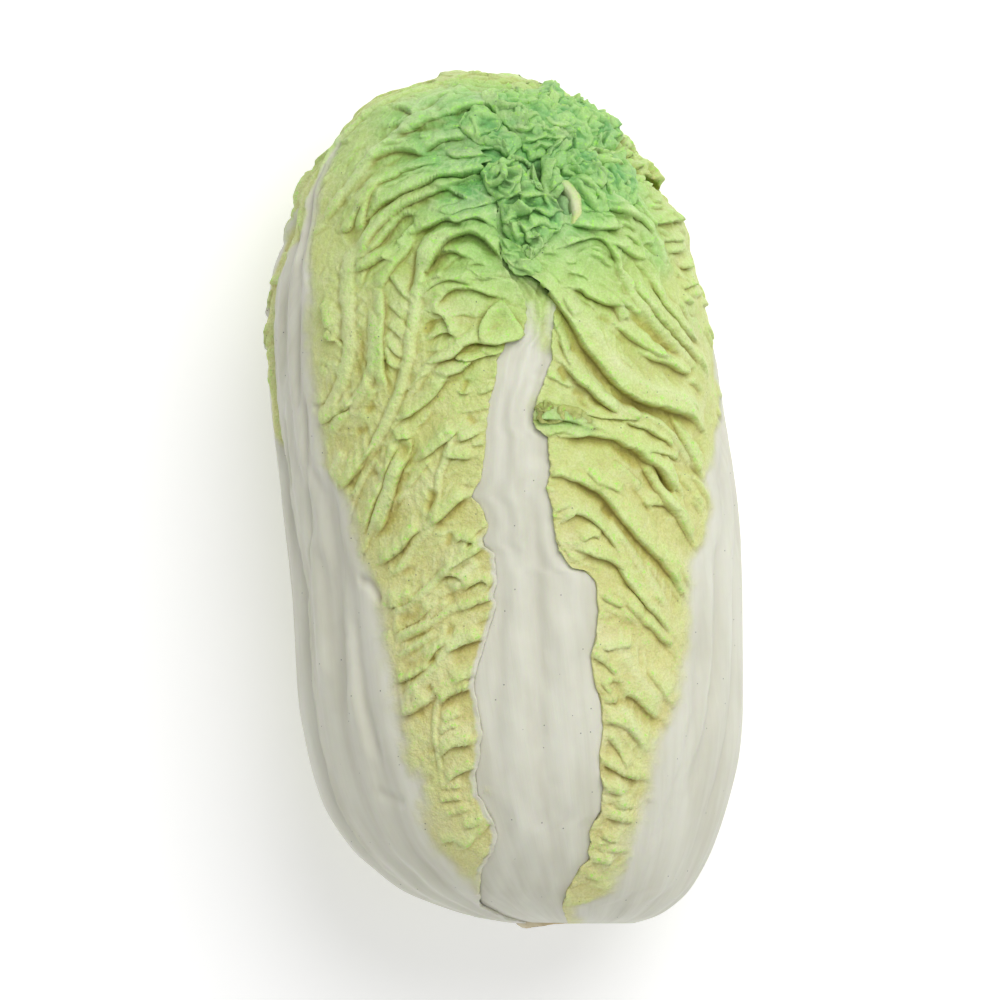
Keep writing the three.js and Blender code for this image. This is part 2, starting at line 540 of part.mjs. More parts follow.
// One ruffled blade that stands round the middle of the crown, split alike on both faces
function frillGeometry(radius, middle, span, height) {
  const pole = surfacePoint(0, 1);
  const up = surfaceNormal(pole);
  const side = new THREE.Vector3().crossVectors(up, surfacePoint(0, 0.95).sub(pole)).normalize();
  const front = new THREE.Vector3().crossVectors(side, up).normalize();
  const corners = [];
  const faces = [];
  const layer = FRILL_COLUMNS + 1;
  const face = layer * (FRILL_ROWS + 1);
  for (const offset of [FRILL_THICKNESS / 2, -FRILL_THICKNESS / 2]) {
    for (let row = 0; row <= FRILL_ROWS; row += 1) {
      for (let column = 0; column <= FRILL_COLUMNS; column += 1) {
        const u = column / FRILL_COLUMNS;
        const v = row / FRILL_ROWS;
        const angle = radians(middle + (u - 0.5) * span);
        const ruffle = Math.sin(2 * Math.PI * 2 * u + middle);
        const lean = row === FRILL_ROWS ? FRILL_LEAN : 0;
        const away = radius + offset + lean + FRILL_RUFFLE * v * ruffle;
        const edge = height * (0.55 + 0.45 * Math.sin(Math.PI * u)) + 0.8 * ruffle;
        const rise = -FRILL_ROOT + v * (FRILL_ROOT + edge);
        corners.push(pole.clone().addScaledVector(front, away * Math.cos(angle))
          .addScaledVector(side, away * Math.sin(angle)).addScaledVector(up, rise));
      }
    }
  }
  const quad = (a, b, c, d) => faces.push([a, b, c], [a, c, d]);
  for (let row = 0; row < FRILL_ROWS; row += 1) {
    for (let column = 0; column < FRILL_COLUMNS; column += 1) {
      const a = row * layer + column;
      quad(a, a + 1, a + 1 + layer, a + layer);
      faces.push([face + a, face + a + 1 + layer, face + a + 1]);
      faces.push([face + a, face + a + layer, face + a + 1 + layer]);
    }
    const start = row * layer;
    const end = start + FRILL_COLUMNS;
    quad(start, start + layer, face + start + layer, face + start);
    quad(end, face + end, face + end + layer, end + layer);
  }
  const topRow = FRILL_ROWS * layer;
  for (let column = 0; column < FRILL_COLUMNS; column += 1) {
    quad(column, face + column, face + column + 1, column + 1);
    const a = topRow + column;
    quad(a, a + 1, face + a + 1, face + a);
  }
  return solidGeometry(corners, faces);
}

const wasm = await Module();
wasm.setup();

function toManifold(geometry) {
  const merged = mergeVertices(new THREE.BufferGeometry()
    .setAttribute('position', geometry.getAttribute('position')).setIndex(geometry.getIndex()));
  const vertProperties = new Float32Array(merged.getAttribute('position').array);
  const triVerts = new Uint32Array(merged.getIndex().array);
  return new wasm.Manifold(new wasm.Mesh({ numProp: 3, vertProperties, triVerts }));
}

function fromManifold(manifold) {
  const { vertProperties, triVerts } = manifold.getMesh();
  const geometry = new THREE.BufferGeometry();
  geometry.setAttribute('position', new THREE.BufferAttribute(Float32Array.from(vertProperties), 3));
  geometry.setIndex(Array.from(triVerts));
  return geometry;
}

function heart() {
  let solid = toManifold(heartCore());
  for (const ring of FRILL_RINGS) {
    for (let i = 0; i < ring.count; i += 1) {
      const middle = ring.start + (360 * i) / ring.count;
      solid = solid.add(toManifold(frillGeometry(ring.radius, middle, ring.span, ring.height)));
    }
  }
  return namedMesh('heart', 0x79b862, fromManifold(solid));
}

const BUTT_RADIUS = 18;
const BUTT_SETBACK = 3.5; // how far the cut face sits inside the leaf bases
function butt() {
  const profile = [[0, 0], [BUTT_RADIUS - 1, 0], [BUTT_RADIUS, 1.2], [16, 10], [11, 18], [0, 20]];
  const geometry = new THREE.LatheGeometry(profile.map(([x, y]) => new THREE.Vector2(x, y)), 28);
  const inwards = directionTo(0, 0).negate();
  const turn = new THREE.Quaternion().setFromUnitVectors(new THREE.Vector3(0, 1, 0), inwards);
  const place = surfacePoint(0, 0).addScaledVector(inwards, BUTT_SETBACK);
  geometry.applyQuaternion(turn);
  geometry.translate(...place.add(BOX_SHIFT).toArray());
  return namedMesh('stem', 0xd9cfae, geometry);
}

const group = new THREE.Group();
group.add(heart());
group.add(butt());
group.add(centreLeaf());
group.add(sideLeaf('leaf_back_left', -155, -52, -108, leftBack, (reach) => backLeft(reach) - 360));
group.add(sideLeaf('leaf_back_right', 92, 155, 124, backRight, rightBack));
group.add(backLeaf());
group.add(leftLeaf());
group.add(rightLeaf());

export default group;
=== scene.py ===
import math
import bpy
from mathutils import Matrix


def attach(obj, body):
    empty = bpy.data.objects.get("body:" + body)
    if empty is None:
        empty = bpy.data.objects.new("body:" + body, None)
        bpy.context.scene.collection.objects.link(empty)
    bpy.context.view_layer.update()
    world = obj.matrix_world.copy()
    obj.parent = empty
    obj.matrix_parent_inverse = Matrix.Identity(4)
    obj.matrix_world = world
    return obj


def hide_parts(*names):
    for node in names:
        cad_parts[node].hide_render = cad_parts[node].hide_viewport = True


bl_info = {
    "name": "Napa Cabbage",
    "version": (1, 0, 0),
    "blender": (4, 5, 0),
    "location": "View3D > Sidebar > Cabbage",
    "description": "Dresses a packed napa cabbage: puckered leaves, white ribs, frilled crown and cut butt",
    "category": "Object",
}

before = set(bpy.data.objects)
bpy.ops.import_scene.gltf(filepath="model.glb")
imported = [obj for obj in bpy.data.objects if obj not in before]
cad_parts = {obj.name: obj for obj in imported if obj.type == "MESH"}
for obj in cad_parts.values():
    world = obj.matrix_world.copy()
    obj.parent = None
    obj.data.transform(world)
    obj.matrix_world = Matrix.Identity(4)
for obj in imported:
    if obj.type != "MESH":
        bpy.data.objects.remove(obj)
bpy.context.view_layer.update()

import bmesh
import bpy
import numpy as np
from mathutils import Vector

# ---- The head's form, the same as the CAD's, in millimetres ----
AXIS_HEIGHT = 70
DEPTH_RATIO = 0.93
HALF_LENGTH = 150
HALF_WIDTH = 80
CENTRE = np.array([2.0, -5.0, AXIS_HEIGHT])
BASE_LEAN = 8.7
CROWN_LEAN = -4.4
CROWN_TILT = 24
TILT_START = 70
BOX_SHIFT = np.array([-0.2, -0.2, 0.0])
MM = 0.001
LENGTH_TO_TIP = 378  # of an arc from the butt to the crown
CROWN_SPAN = 200  # distance from the crown at which the attribute "crown" is 1
UP = (0.0, 1.0, 0.0)

# Half outline of the head seen from above: y, left x, right x
OUTLINE = [
    (-150.2, 27.9, 27.9), (-148.8, 7.3, 42), (-145.2, -13.3, 53.2), (-141.7, -24.5, 58.5), (-136.5, -36.7, 64),
    (-129.5, -45.9, 68.6), (-122.5, -53.6, 72.1), (-105, -64.7, 78), (-87.5, -69.7, 81.9), (-70, -72.8, 83.1),
    (-35, -74.7, 83.1), (0, -78.7, 80.7), (35, -82.6, 75.6), (66.5, -83, 70.4), (80.5, -81.2, 66.2),
    (94.5, -75.2, 63.4), (108.5, -72.1, 55), (122.5, -63, 42.7), (133, -55, 34.6), (140, -46.9, 21.7),
    (147, -25.5, 2), (149.8, -14, -14),
]

OVERLAP_DEPTH = 7.2
OVERLAP_RAMP = 8
HEART_DEPTH = 15.5
CROWN_DEPTH = 3.5
LEAF_START = 0.09
CROWN_REACH = 0.925
SIDE_LEAF_TIP = 0.845
SIDE_LEAF_CLEARANCE = 4
SHOULDER_REACH = 0.48
SHOULDER_DEPTH = 1.8
RELIEF_LIMIT = 4.2
PIT_LIMIT = 2.5
RIB_LINE_HEIGHT = 2.0
SWELL_WIDTH = 15
SWELL_CUT = 0.6  # how much of the broad swell of many folds is taken off again

# ---- Lines drawn on the head, on a grid of 0.35 mm seen from above: column, row ----
GRID = 0.35
GRID_MIDDLE = (505, 500)

LEFT_MARGIN = [
    (497, 215), (498, 240), (501, 258), (505, 271), (511, 280), (518, 288), (524, 301), (527, 318), (523, 337),
    (505, 347), (497, 362), (496, 382), (490, 400), (487, 425), (485, 453), (481, 479), (471, 497), (481, 506),
    (489, 526), (481, 544), (494, 552), (497, 575), (494, 596), (496, 605), (490, 625), (479, 660), (473, 683),
    (479, 705), (482, 735), (480, 755), (474, 776), (481, 796), (492, 815), (498, 830), (492, 850), (481, 868),
    (480, 890), (482, 905),
]
RIGHT_MARGIN = [
    (497, 215), (497, 240), (500, 254), (507, 264), (517, 271), (529, 277), (539, 284), (548, 293), (554, 305),
    (554, 322), (551, 345), (552, 361), (544, 382), (537, 400), (533, 414), (534, 428), (547, 438), (550, 475),
    (546, 488), (551, 505), (553, 526), (558, 549), (570, 567), (588, 570), (596, 582), (597, 610), (596, 632),
    (590, 653), (594, 680), (601, 700), (603, 720), (600, 745), (599, 762), (602, 790), (600, 812), (590, 822),
    (588, 856), (578, 869), (566, 890), (562, 904),
]
LEFT_RIB_END = [
    (325, 180), (315, 300), (318, 400), (324, 421), (328, 467), (349, 498), (359, 533), (370, 568), (380, 587),
    (392, 660), (401, 698), (409, 746), (424, 779), (426, 805), (437, 841), (461, 864), (476, 880),
]
RIGHT_RIB_END = [
    (715, 380), (715, 433), (702, 480), (708, 508), (699, 544), (686, 560), (685, 640), (674, 697), (655, 736),
    (647, 774), (636, 812), (624, 850), (605, 890), (570, 904),
]

# Margins and ribs on the sides and back: reach, angle
LEFT_BACK = [
    (0.1, -68), (0.45, -68), (0.5, -71), (0.58, -79), (0.62, -85), (0.66, -92), (0.7, -103), (0.74, -118),
    (0.8, -142), (0.85, -174), (0.9, -195), (0.93, -200),
]
LEFT_RIB_START = [
    (0.1, -150), (0.62, -120), (0.66, -92), (0.69, -93), (0.71, -98), (0.73, -105), (0.75, -113), (0.93, -180),
]
RIGHT_BACK = [(0.1, 112), (0.5, 116), (0.7, 118), (0.76, 121), (0.81, 119), (0.86, 112), (0.93, 104)]
RIGHT_RIB_TOP = [(0.6, 93), (0.64, 100), (0.68, 107), (0.74, 112), (0.93, 120)]
RIGHT_RIB_FAR = [
    (0.1, 150), (0.22, 118), (0.34, 108), (0.5, 104), (0.64, 103), (0.7, 102), (0.76, 98), (0.93, 98),
]
BACK_RIGHT = [(0.1, 134), (0.5, 136), (0.7, 134), (0.8, 127), (0.85, 117), (0.93, 106)]
BACK_LEFT = [(0.1, 232), (0.5, 236), (0.7, 234), (0.75, 224), (0.8, 204), (0.85, 177), (0.9, 158), (0.93, 152)]
BACK_RIB_HALF = [(0.1, 30), (0.35, 40), (0.5, 30), (0.62, 17), (0.75, 8), (0.82, 1), (0.86, -6), (0.93, -8)]
BACK_LEFT_RIB_HALF = [(0.12, 60), (0.5, 50), (0.545, 40), (0.58, 20), (0.64, 7), (0.68, 1), (0.8, -6)]
BACK_RIGHT_RIB_HALF = [(0.12, 30), (0.4, 26), (0.56, 12), (0.66, 2), (0.8, -8)]

# Folds: height, width of the long rise, line. The steep side is on the lower side of the line.
LEFT_FOLDS = [
    (1.2, 6, [(447, 98), (456, 104)]),
    (1.0, 5, [(394, 110), (404, 110), (412, 113), (416, 117)]),
    (2.0, 9, [(444, 120), (456, 114), (475, 108), (495, 107), (517, 108), (535, 109), (550, 112)]),
    (1.5, 7, [(398, 135), (412, 131), (426, 125), (441, 121)]),
    (1.7, 7, [(366, 166), (376, 160), (387, 155), (399, 151), (410, 152), (427, 157)]),
    (1.7, 7, [(424, 153), (432, 148), (441, 144), (455, 142), (466, 139)]),
    (1.1, 6, [(446, 153), (455, 160), (470, 161), (485, 159), (500, 160), (515, 163)]),
    (1.2, 7, [(368, 194), (382, 183), (395, 179), (402, 174), (412, 172), (425, 168), (444, 167)]),
    (3.0, 10, [(370, 220), (378, 211), (387, 204), (400, 198), (412, 193), (425, 187), (437, 182), (456, 178),
        (480, 175), (495, 167), (508, 166)]),
    (2.0, 7, [(364, 258), (372, 243), (387, 223), (407, 208), (416, 203), (430, 197), (441, 192), (456, 188)]),
    (1.0, 5, [(432, 190), (450, 190), (458, 197), (468, 203)]),
    (1.0, 5, [(450, 188), (462, 182), (480, 178)]),
    (1.3, 7, [(440, 214), (452, 218), (462, 213), (474, 212), (482, 208), (493, 205)]),
    (2.8, 9, [(414, 235), (424, 230), (435, 226), (449, 222), (457, 226), (467, 223), (481, 221), (492, 229)]),
    (3.2, 9, [(428, 272), (433, 260), (441, 249), (450, 240), (462, 235), (472, 235), (482, 238), (492, 247),
        (503, 262)]),
    (1.8, 5, [(427, 272), (431, 264), (437, 258), (445, 253), (455, 252), (463, 254), (469, 259)]),
    (1.8, 9, [(367, 258), (376, 250), (384, 240), (392, 228), (400, 220), (408, 215), (415, 218)]),
    (1.6, 6, [(358, 273), (366, 270), (374, 266), (380, 262), (387, 260), (392, 263)]),
    (1.3, 5, [(380, 293), (386, 282), (392, 272), (397, 266), (403, 260), (409, 250), (413, 241)]),
    (1.4, 5, [(371, 199), (368, 210), (366, 220), (362, 233)]),
    (1.4, 6, [(339, 232), (350, 231), (355, 220), (362, 209), (375, 195), (382, 183)]),
    (1.5, 5, [(327, 303), (328, 315), (331, 325), (334, 331)]),
    (1.3, 4, [(328, 336), (333, 341), (339, 341)]),
    (1.5, 4, [(377, 292), (381, 294), (384, 303), (384, 318), (383, 335), (383, 355), (384, 372), (387, 392)]),
    (0.6, 4, [(390, 277), (398, 288), (405, 296), (410, 303)]),
    (0.6, 4, [(391, 306), (398, 313), (404, 320)]),
    (0.6, 4, [(390, 326), (397, 333), (403, 340)]),
    (0.6, 4, [(389, 346), (395, 352), (402, 358)]),
    (0.6, 4, [(388, 361), (395, 366), (401, 370)]),
    (1.5, 4, [(432, 314), (440, 313), (446, 317), (451, 327), (456, 340)]),
    (1.2, 4, [(430, 341), (437, 336), (445, 333), (452, 333), (456, 338)]),
    (1.7, 7, [(437, 309), (440, 301), (446, 294), (455, 290), (466, 290), (478, 291), (490, 295), (500, 300)]),
    (1.4, 5, [(424, 298), (430, 290), (437, 285), (445, 282), (455, 282), (466, 284), (476, 287)]),
    (1.0, 4, [(421, 289), (427, 282), (435, 277), (444, 277)]),
    (-1.7, 4, [(482, 344), (481, 334), (483, 325), (488, 317), (495, 308)]),
    (-1.0, 3, [(503, 307), (510, 317), (517, 328), (522, 338)]),
    (2.2, 7, [(432, 364), (442, 361), (450, 359), (458, 353), (464, 347), (472, 344), (482, 343), (500, 344),
        (520, 338)]),
    (1.9, 4, [(480, 345), (490, 346), (500, 343), (510, 340), (522, 338)]),
    (1.5, 4, [(452, 360), (462, 360), (474, 361), (484, 357), (496, 353), (510, 349)]),
    (1.9, 5, [(445, 380), (448, 375), (454, 373), (460, 371), (467, 367), (474, 362)]),
    (1.6, 5, [(401, 419), (410, 415), (418, 410), (425, 405), (432, 398), (438, 392), (442, 385), (445, 380)]),
    (1.4, 5, [(322, 424), (332, 418), (341, 413), (349, 407), (356, 401)]),
    (1.6, 6, [(398, 440), (402, 437), (412, 436)]),
    (1.3, 5, [(411, 438), (408, 452), (404, 466), (399, 480)]),
    (1.5, 5, [(420, 459), (436, 450), (452, 436), (458, 430)]),
    (1.3, 6, [(345, 488), (352, 478), (360, 466), (368, 456), (375, 446)]),
    (1.2, 6, [(384, 478), (388, 468), (392, 458), (398, 445)]),
    (1.4, 5, [(460, 440), (480, 434)]),
    (1.4, 5, [(448, 455), (472, 458)]),
    (1.2, 4, [(460, 392), (470, 393)]),
    (1.9, 6, [(403, 465), (398, 480), (395, 492), (391, 503), (387, 513), (383, 524), (378, 534)]),
    (1.1, 5, [(346, 488), (365, 465)]),
    (1.2, 6, [(364, 530), (370, 515), (378, 495), (385, 480)]),
    (1.8, 6, [(381, 562), (390, 557), (398, 551), (404, 544), (411, 536), (417, 530), (422, 528)]),
    (2.0, 7, [(432, 524), (440, 517), (447, 511), (455, 504), (463, 498), (468, 497)]),
    (1.1, 3.5, [(455, 540), (461, 536), (468, 538), (473, 541), (480, 540)]),
    (1.8, 5, [(447, 570), (455, 563), (463, 557), (472, 553), (482, 548)]),
    (1.5, 7, [(391, 605), (400, 603), (408, 600), (416, 596)]),
    (1.3, 4, [(442, 576), (447, 573), (455, 573), (462, 575), (465, 579)]),
    (1.4, 4, [(464, 588), (470, 583), (478, 579), (485, 578), (490, 584)]),
    (1.4, 6, [(458, 608), (466, 604), (476, 601), (494, 594)]),
    (1.1, 6, [(396, 630), (408, 622), (420, 616), (433, 603)]),
    (0.8, 4, [(400, 640), (416, 633), (430, 626)]),
    (1.8, 5, [(426, 660), (431, 652), (438, 645), (447, 641)]),
    (2.2, 7, [(448, 650), (456, 645), (464, 640), (482, 637)]),
    (2.1, 6, [(399, 679), (408, 676), (418, 669), (430, 663)]),
    (2.0, 5, [(454, 679), (462, 674), (470, 672), (478, 670)]),
    (2.2, 7, [(441, 700), (448, 693), (456, 689), (466, 686), (472, 684)]),
    (2.0, 8, [(402, 712), (412, 709), (420, 706), (426, 700), (432, 694)]),
    (1.3, 5, [(442, 730), (450, 724), (458, 722)]),
    (1.3, 5, [(444, 718), (452, 713), (460, 712)]),
    (2.2, 7, [(441, 752), (448, 745), (456, 741), (474, 739)]),
    (1.6, 6, [(448, 777), (456, 770), (475, 764)]),
    (1.3, 5, [(440, 784), (462, 782)]),
    (1.3, 5, [(440, 798), (462, 793)]),
    (0.8, 5, [(446, 812), (470, 806)]),
    (1.4, 5, [(442, 839), (450, 836), (458, 835), (466, 838)]),
    (1.1, 4, [(457, 846), (465, 842), (471, 836), (475, 829)]),
    (1.1, 4, [(462, 822), (476, 820), (486, 814)]),
]
RIGHT_FOLDS = [
    (1.2, 6, [(553, 132), (568, 131), (588, 126), (594, 120)]),
    (1.3, 6, [(575, 140), (583, 147), (592, 154), (600, 159), (612, 163), (619, 175), (622, 182)]),
    (1.1, 5, [(556, 177), (566, 176), (576, 180), (584, 190), (600, 208)]),
    (1.4, 6, [(610, 160), (618, 172), (624, 188), (640, 210)]),
    (1.6, 7, [(600, 210), (612, 210), (625, 216), (640, 222), (648, 230), (652, 240)]),
    (2.2, 8, [(570, 228), (584, 230), (598, 231), (620, 229)]),
    (1.6, 6, [(560, 250), (572, 244), (598, 238), (606, 243), (612, 255), (618, 270)]),
    (1.2, 6, [(612, 243), (622, 252), (645, 262)]),
    (1.2, 4, [(616, 195), (634, 206)]),
    (1.6, 5, [(656, 226), (680, 222)]),
    (1.1, 4, [(664, 242), (680, 241)]),
    (1.1, 4, [(680, 265), (688, 268)]),
    (1.1, 4, [(668, 253), (682, 250)]),
    (1.1, 4, [(682, 287), (692, 286)]),
    (1.1, 4, [(682, 300), (690, 305)]),
    (1.2, 5, [(633, 283), (640, 297), (650, 310), (660, 322), (670, 332), (680, 342), (690, 352), (698, 362),
        (705, 374)]),
    (1.3, 5, [(652, 278), (654, 290), (660, 303), (668, 313), (676, 322), (688, 335), (698, 343)]),
    (2.0, 8, [(570, 291), (580, 291), (590, 299), (600, 303), (613, 306), (622, 308)]),
    (1.1, 4, [(613, 307), (622, 323)]),
    (1.5, 6, [(615, 327), (622, 331), (630, 338), (640, 346), (650, 352), (666, 358)]),
    (1.7, 5, [(641, 355), (652, 359), (662, 362), (672, 366), (680, 372), (690, 370)]),
    (3.0, 12, [(508, 267), (518, 273), (530, 279), (540, 286), (549, 295), (557, 305), (564, 314), (572, 325),
        (580, 340), (586, 352), (596, 362), (605, 372), (614, 384), (626, 397), (640, 402), (655, 405),
        (670, 410), (685, 415), (694, 422), (700, 430)]),
    (1.2, 5, [(562, 300), (574, 320)]),
    (2.0, 6, [(564, 367), (574, 377), (584, 386), (592, 393), (600, 402), (608, 408), (617, 413)]),
    (1.5, 5, [(580, 412), (600, 418), (640, 419)]),
    (1.5, 6, [(620, 422), (640, 427), (660, 436), (672, 448)]),
    (1.3, 6, [(672, 415), (680, 440), (692, 460), (700, 478)]),
    (2.6, 9, [(560, 437), (572, 435), (585, 433), (596, 436), (604, 438), (617, 440), (624, 446), (634, 449),
        (640, 455), (648, 461), (662, 475), (674, 488)]),
    (1.6, 4, [(532, 420), (540, 416), (558, 419), (570, 419), (582, 426)]),
    (1.2, 5, [(640, 452), (660, 451), (678, 460)]),
    (1.4, 6, [(640, 460), (646, 470), (652, 482), (657, 492), (662, 500), (678, 513)]),
    (1.3, 5, [(653, 463), (660, 472), (668, 486), (674, 492)]),
    (1.3, 6, [(645, 504), (655, 502), (664, 504), (672, 513), (680, 521), (690, 540)]),
    (2.3, 9, [(564, 477), (572, 479), (582, 482), (592, 487), (600, 493), (608, 500), (614, 508), (628, 527),
        (644, 545), (660, 562), (668, 571), (680, 590)]),
    (1.3, 5, [(584, 470), (597, 483), (612, 489), (618, 494)]),
    (1.6, 7, [(562, 520), (568, 515), (576, 511), (590, 518), (608, 532), (616, 552)]),
    (1.2, 5, [(580, 540), (592, 533), (600, 537)]),
    (1.8, 8, [(570, 547), (590, 553), (610, 559), (618, 563), (622, 572), (628, 582), (644, 601), (656, 616),
        (672, 634)]),
    (1.4, 5, [(600, 592), (612, 602), (622, 603)]),
    (1.2, 5, [(624, 600), (638, 617)]),
    (1.6, 6, [(640, 619), (652, 628), (664, 640), (670, 645)]),
    (1.3, 5, [(600, 646), (624, 643), (630, 645)]),
    (1.4, 6, [(590, 652), (604, 660), (616, 672)]),
    (1.2, 4, [(606, 680), (612, 675), (621, 680)]),
    (1.2, 4, [(600, 679), (610, 690)]),
    (1.2, 4, [(601, 697), (616, 699)]),
    (2.0, 7, [(621, 694), (627, 690), (642, 702), (658, 716)]),
    (1.2, 6, [(646, 668), (658, 686), (664, 696)]),
    (1.5, 6, [(602, 719), (618, 721), (632, 730), (642, 745)]),
    (1.4, 5, [(604, 733), (617, 741), (622, 758), (627, 765)]),
    (2.2, 7, [(602, 759), (620, 770), (638, 776)]),
    (1.3, 5, [(602, 788), (620, 787)]),
    (1.3, 5, [(612, 800), (632, 804)]),
    (1.5, 5, [(606, 812), (630, 817)]),
    (1.2, 5, [(600, 832), (616, 836)]),
    (1.2, 5, [(592, 856), (610, 858)]),
    (1.0, 4, [(584, 872), (600, 876)]),
]
# Veins and soft ridges: height, half width, line
LEFT_RIDGES = [
    (1.0, 2.6, [(470, 88), (440, 96), (410, 112)]),
    (1.2, 3.0, [(457, 640), (440, 660), (420, 683), (403, 693)]),
    (1.1, 2.6, [(480, 560), (470, 566), (452, 590)]),
    (0.9, 2.4, [(345, 450), (338, 465), (332, 480)]),
]
RIGHT_RIDGES = [
    (1.2, 2.6, [(609, 179), (609, 199), (637, 227), (662, 249), (664, 282)]),
    (0.9, 4.0, [(578, 312), (592, 336), (606, 356), (620, 374), (640, 388), (664, 396), (695, 406)]),
    (1.1, 3.0, [(612, 640), (640, 680), (660, 702)]),
    (1.0, 2.6, [(616, 700), (632, 722), (646, 752)]),
    (1.0, 2.4, [(612, 760), (622, 790), (618, 830), (600, 870)]),
    (1.0, 2.6, [(672, 230), (688, 262), (694, 300)]),
]
# Round veins: height, half widths at both ends in mm, line
LEFT_TUBES = [
    (1.7, 2.9, 1.7, [(452, 218), (436, 232), (427, 250), (421, 272), (417, 300), (413, 330), (409, 356),
        (403, 384), (395, 408), (384, 430), (374, 448), (362, 470), (352, 486)]),
    (1.4, 3.4, 2.4, [(356, 240), (350, 262), (348, 290), (349, 320), (350, 350), (347, 374), (338, 395),
        (327, 412), (318, 424)]),
    (1.4, 2.2, 2.2, [(372, 300), (375, 330), (375, 355), (372, 378), (362, 396), (348, 412), (336, 426),
        (328, 440)]),
    (1.2, 2.4, 1.6, [(482, 332), (466, 344), (450, 354), (434, 363), (423, 376), (413, 392), (404, 404)]),
    (1.4, 2.0, 1.7, [(404, 448), (398, 465), (391, 482), (385, 498), (379, 514), (373, 528), (366, 542)]),
    (1.1, 1.7, 1.5, [(378, 455), (368, 472), (360, 486), (352, 502)]),
    (1.7, 1.4, 1.7, [(482, 552), (468, 558), (450, 568), (438, 576), (427, 588), (416, 599), (402, 608),
        (388, 616)]),
    (1.5, 1.5, 1.3, [(464, 599), (448, 610), (436, 619), (422, 625), (406, 631), (392, 637)]),
    (1.3, 1.5, 1.8, [(450, 646), (438, 659), (425, 674), (412, 688), (403, 700)]),
    (1.2, 1.0, 1.6, [(436, 628), (422, 640), (408, 650), (396, 656)]),
    (1.4, 1.1, 1.8, [(457, 430), (448, 453), (440, 476), (438, 496), (433, 521)]),
    (1.3, 1.3, 1.3, [(450, 682), (440, 694), (436, 708), (435, 726), (437, 744), (440, 760), (440, 776)]),
    (1.1, 2.4, 2.4, [(482, 90), (460, 98), (440, 109), (420, 121), (400, 134), (384, 147), (369, 163),
        (356, 179), (344, 195), (332, 211), (324, 231)]),
    (1.4, 1.8, 2.2, [(441, 85), (416, 92), (388, 102), (362, 120), (340, 143), (326, 166), (317, 192)]),
    (1.0, 1.5, 1.3, [(490, 173), (470, 182), (450, 185), (430, 191), (412, 199), (396, 208), (384, 222),
        (374, 242)]),
    (1.0, 2.0, 1.7, [(440, 515), (428, 528), (418, 540), (406, 560), (394, 578)]),
]
RIGHT_TUBES = [
    (1.4, 1.9, 2.2, [(612, 252), (619, 270), (628, 288), (638, 304), (649, 319), (662, 334), (675, 347),
        (687, 359), (698, 374)]),
    (0.8, 1.5, 1.8, [(648, 285), (655, 302), (666, 320), (680, 334), (694, 348)]),
    (1.3, 1.7, 1.8, [(588, 384), (602, 398), (620, 408), (640, 414), (660, 424), (673, 438), (684, 454),
        (695, 474)]),
    (1.4, 1.4, 1.9, [(644, 458), (650, 468), (656, 480), (661, 492), (668, 502), (677, 512), (686, 524)]),
    (0.9, 1.8, 2.2, [(606, 520), (620, 538), (634, 556), (648, 576), (660, 598), (670, 618)]),
]
# Hollows: depth, half width in mm, line
LEFT_DIPS = [
    (1.7, 2.0, [(430, 603), (420, 611), (408, 618), (396, 625)]),
    (1.0, 1.2, [(428, 629), (414, 636), (402, 642)]),
    (1.3, 1.8, [(434, 648), (424, 657), (410, 665), (400, 671)]),
    (1.2, 1.6, [(446, 629), (456, 630)]),
    (1.4, 1.4, [(434, 682), (428, 688)]),
    (1.5, 1.6, [(438, 655), (430, 663)]),
    (0.8, 1.0, [(416, 242), (416, 262), (412, 290), (409, 302)]),
    (1.7, 1.7, [(434, 318), (431, 328), (426, 337)]),
    (1.3, 1.8, [(377, 403), (371, 408), (364, 412)]),
    (1.1, 1.6, [(352, 405), (346, 410), (340, 414)]),
    (1.0, 1.5, [(370, 424), (364, 430), (356, 433)]),
    (1.1, 1.8, [(363, 326), (363, 345), (362, 365), (360, 388)]),
    (1.5, 1.4, [(467, 378), (466, 386), (462, 393)]),
    (1.0, 1.3, [(466, 418), (472, 420), (476, 426)]),
    (1.3, 1.6, [(406, 441), (405, 452), (404, 464)]),
    (1.6, 1.9, [(436, 488), (434, 498), (431, 507), (427, 514)]),
    (1.0, 1.5, [(452, 530), (449, 540), (447, 547)]),
    (1.4, 1.3, [(465, 540), (470, 543), (476, 543)]),
    (1.3, 1.5, [(398, 603), (406, 600), (414, 595)]),
    (0.9, 2.2, [(430, 770), (428, 782)]),
    (1.2, 2.4, [(446, 243), (460, 240), (474, 240), (488, 247)]),
    (1.0, 1.8, [(484, 125), (490, 132), (498, 138)]),
]
RIGHT_DIPS = [
    (1.6, 2.0, [(622, 310), (634, 319), (645, 329), (656, 339), (668, 351), (680, 359)]),
    (0.8, 1.4, [(594, 316), (604, 321), (614, 326)]),
    (1.3, 1.7, [(556, 368), (562, 374), (566, 384)]),
    (1.0, 1.2, [(570, 348), (578, 350)]),
    (1.0, 1.4, [(570, 392), (578, 394), (586, 402)]),
    (1.6, 2.2, [(593, 366), (603, 379), (613, 389)]),
    (1.0, 1.8, [(630, 402), (645, 409), (660, 413)]),
    (1.4, 2.0, [(602, 504), (609, 512), (615, 519)]),
    (1.2, 1.3, [(664, 480), (668, 487), (673, 493)]),
    (1.0, 2.2, [(606, 444), (620, 452), (634, 462), (642, 474)]),
    (1.0, 1.4, [(641, 466), (648, 480), (654, 492)]),
]
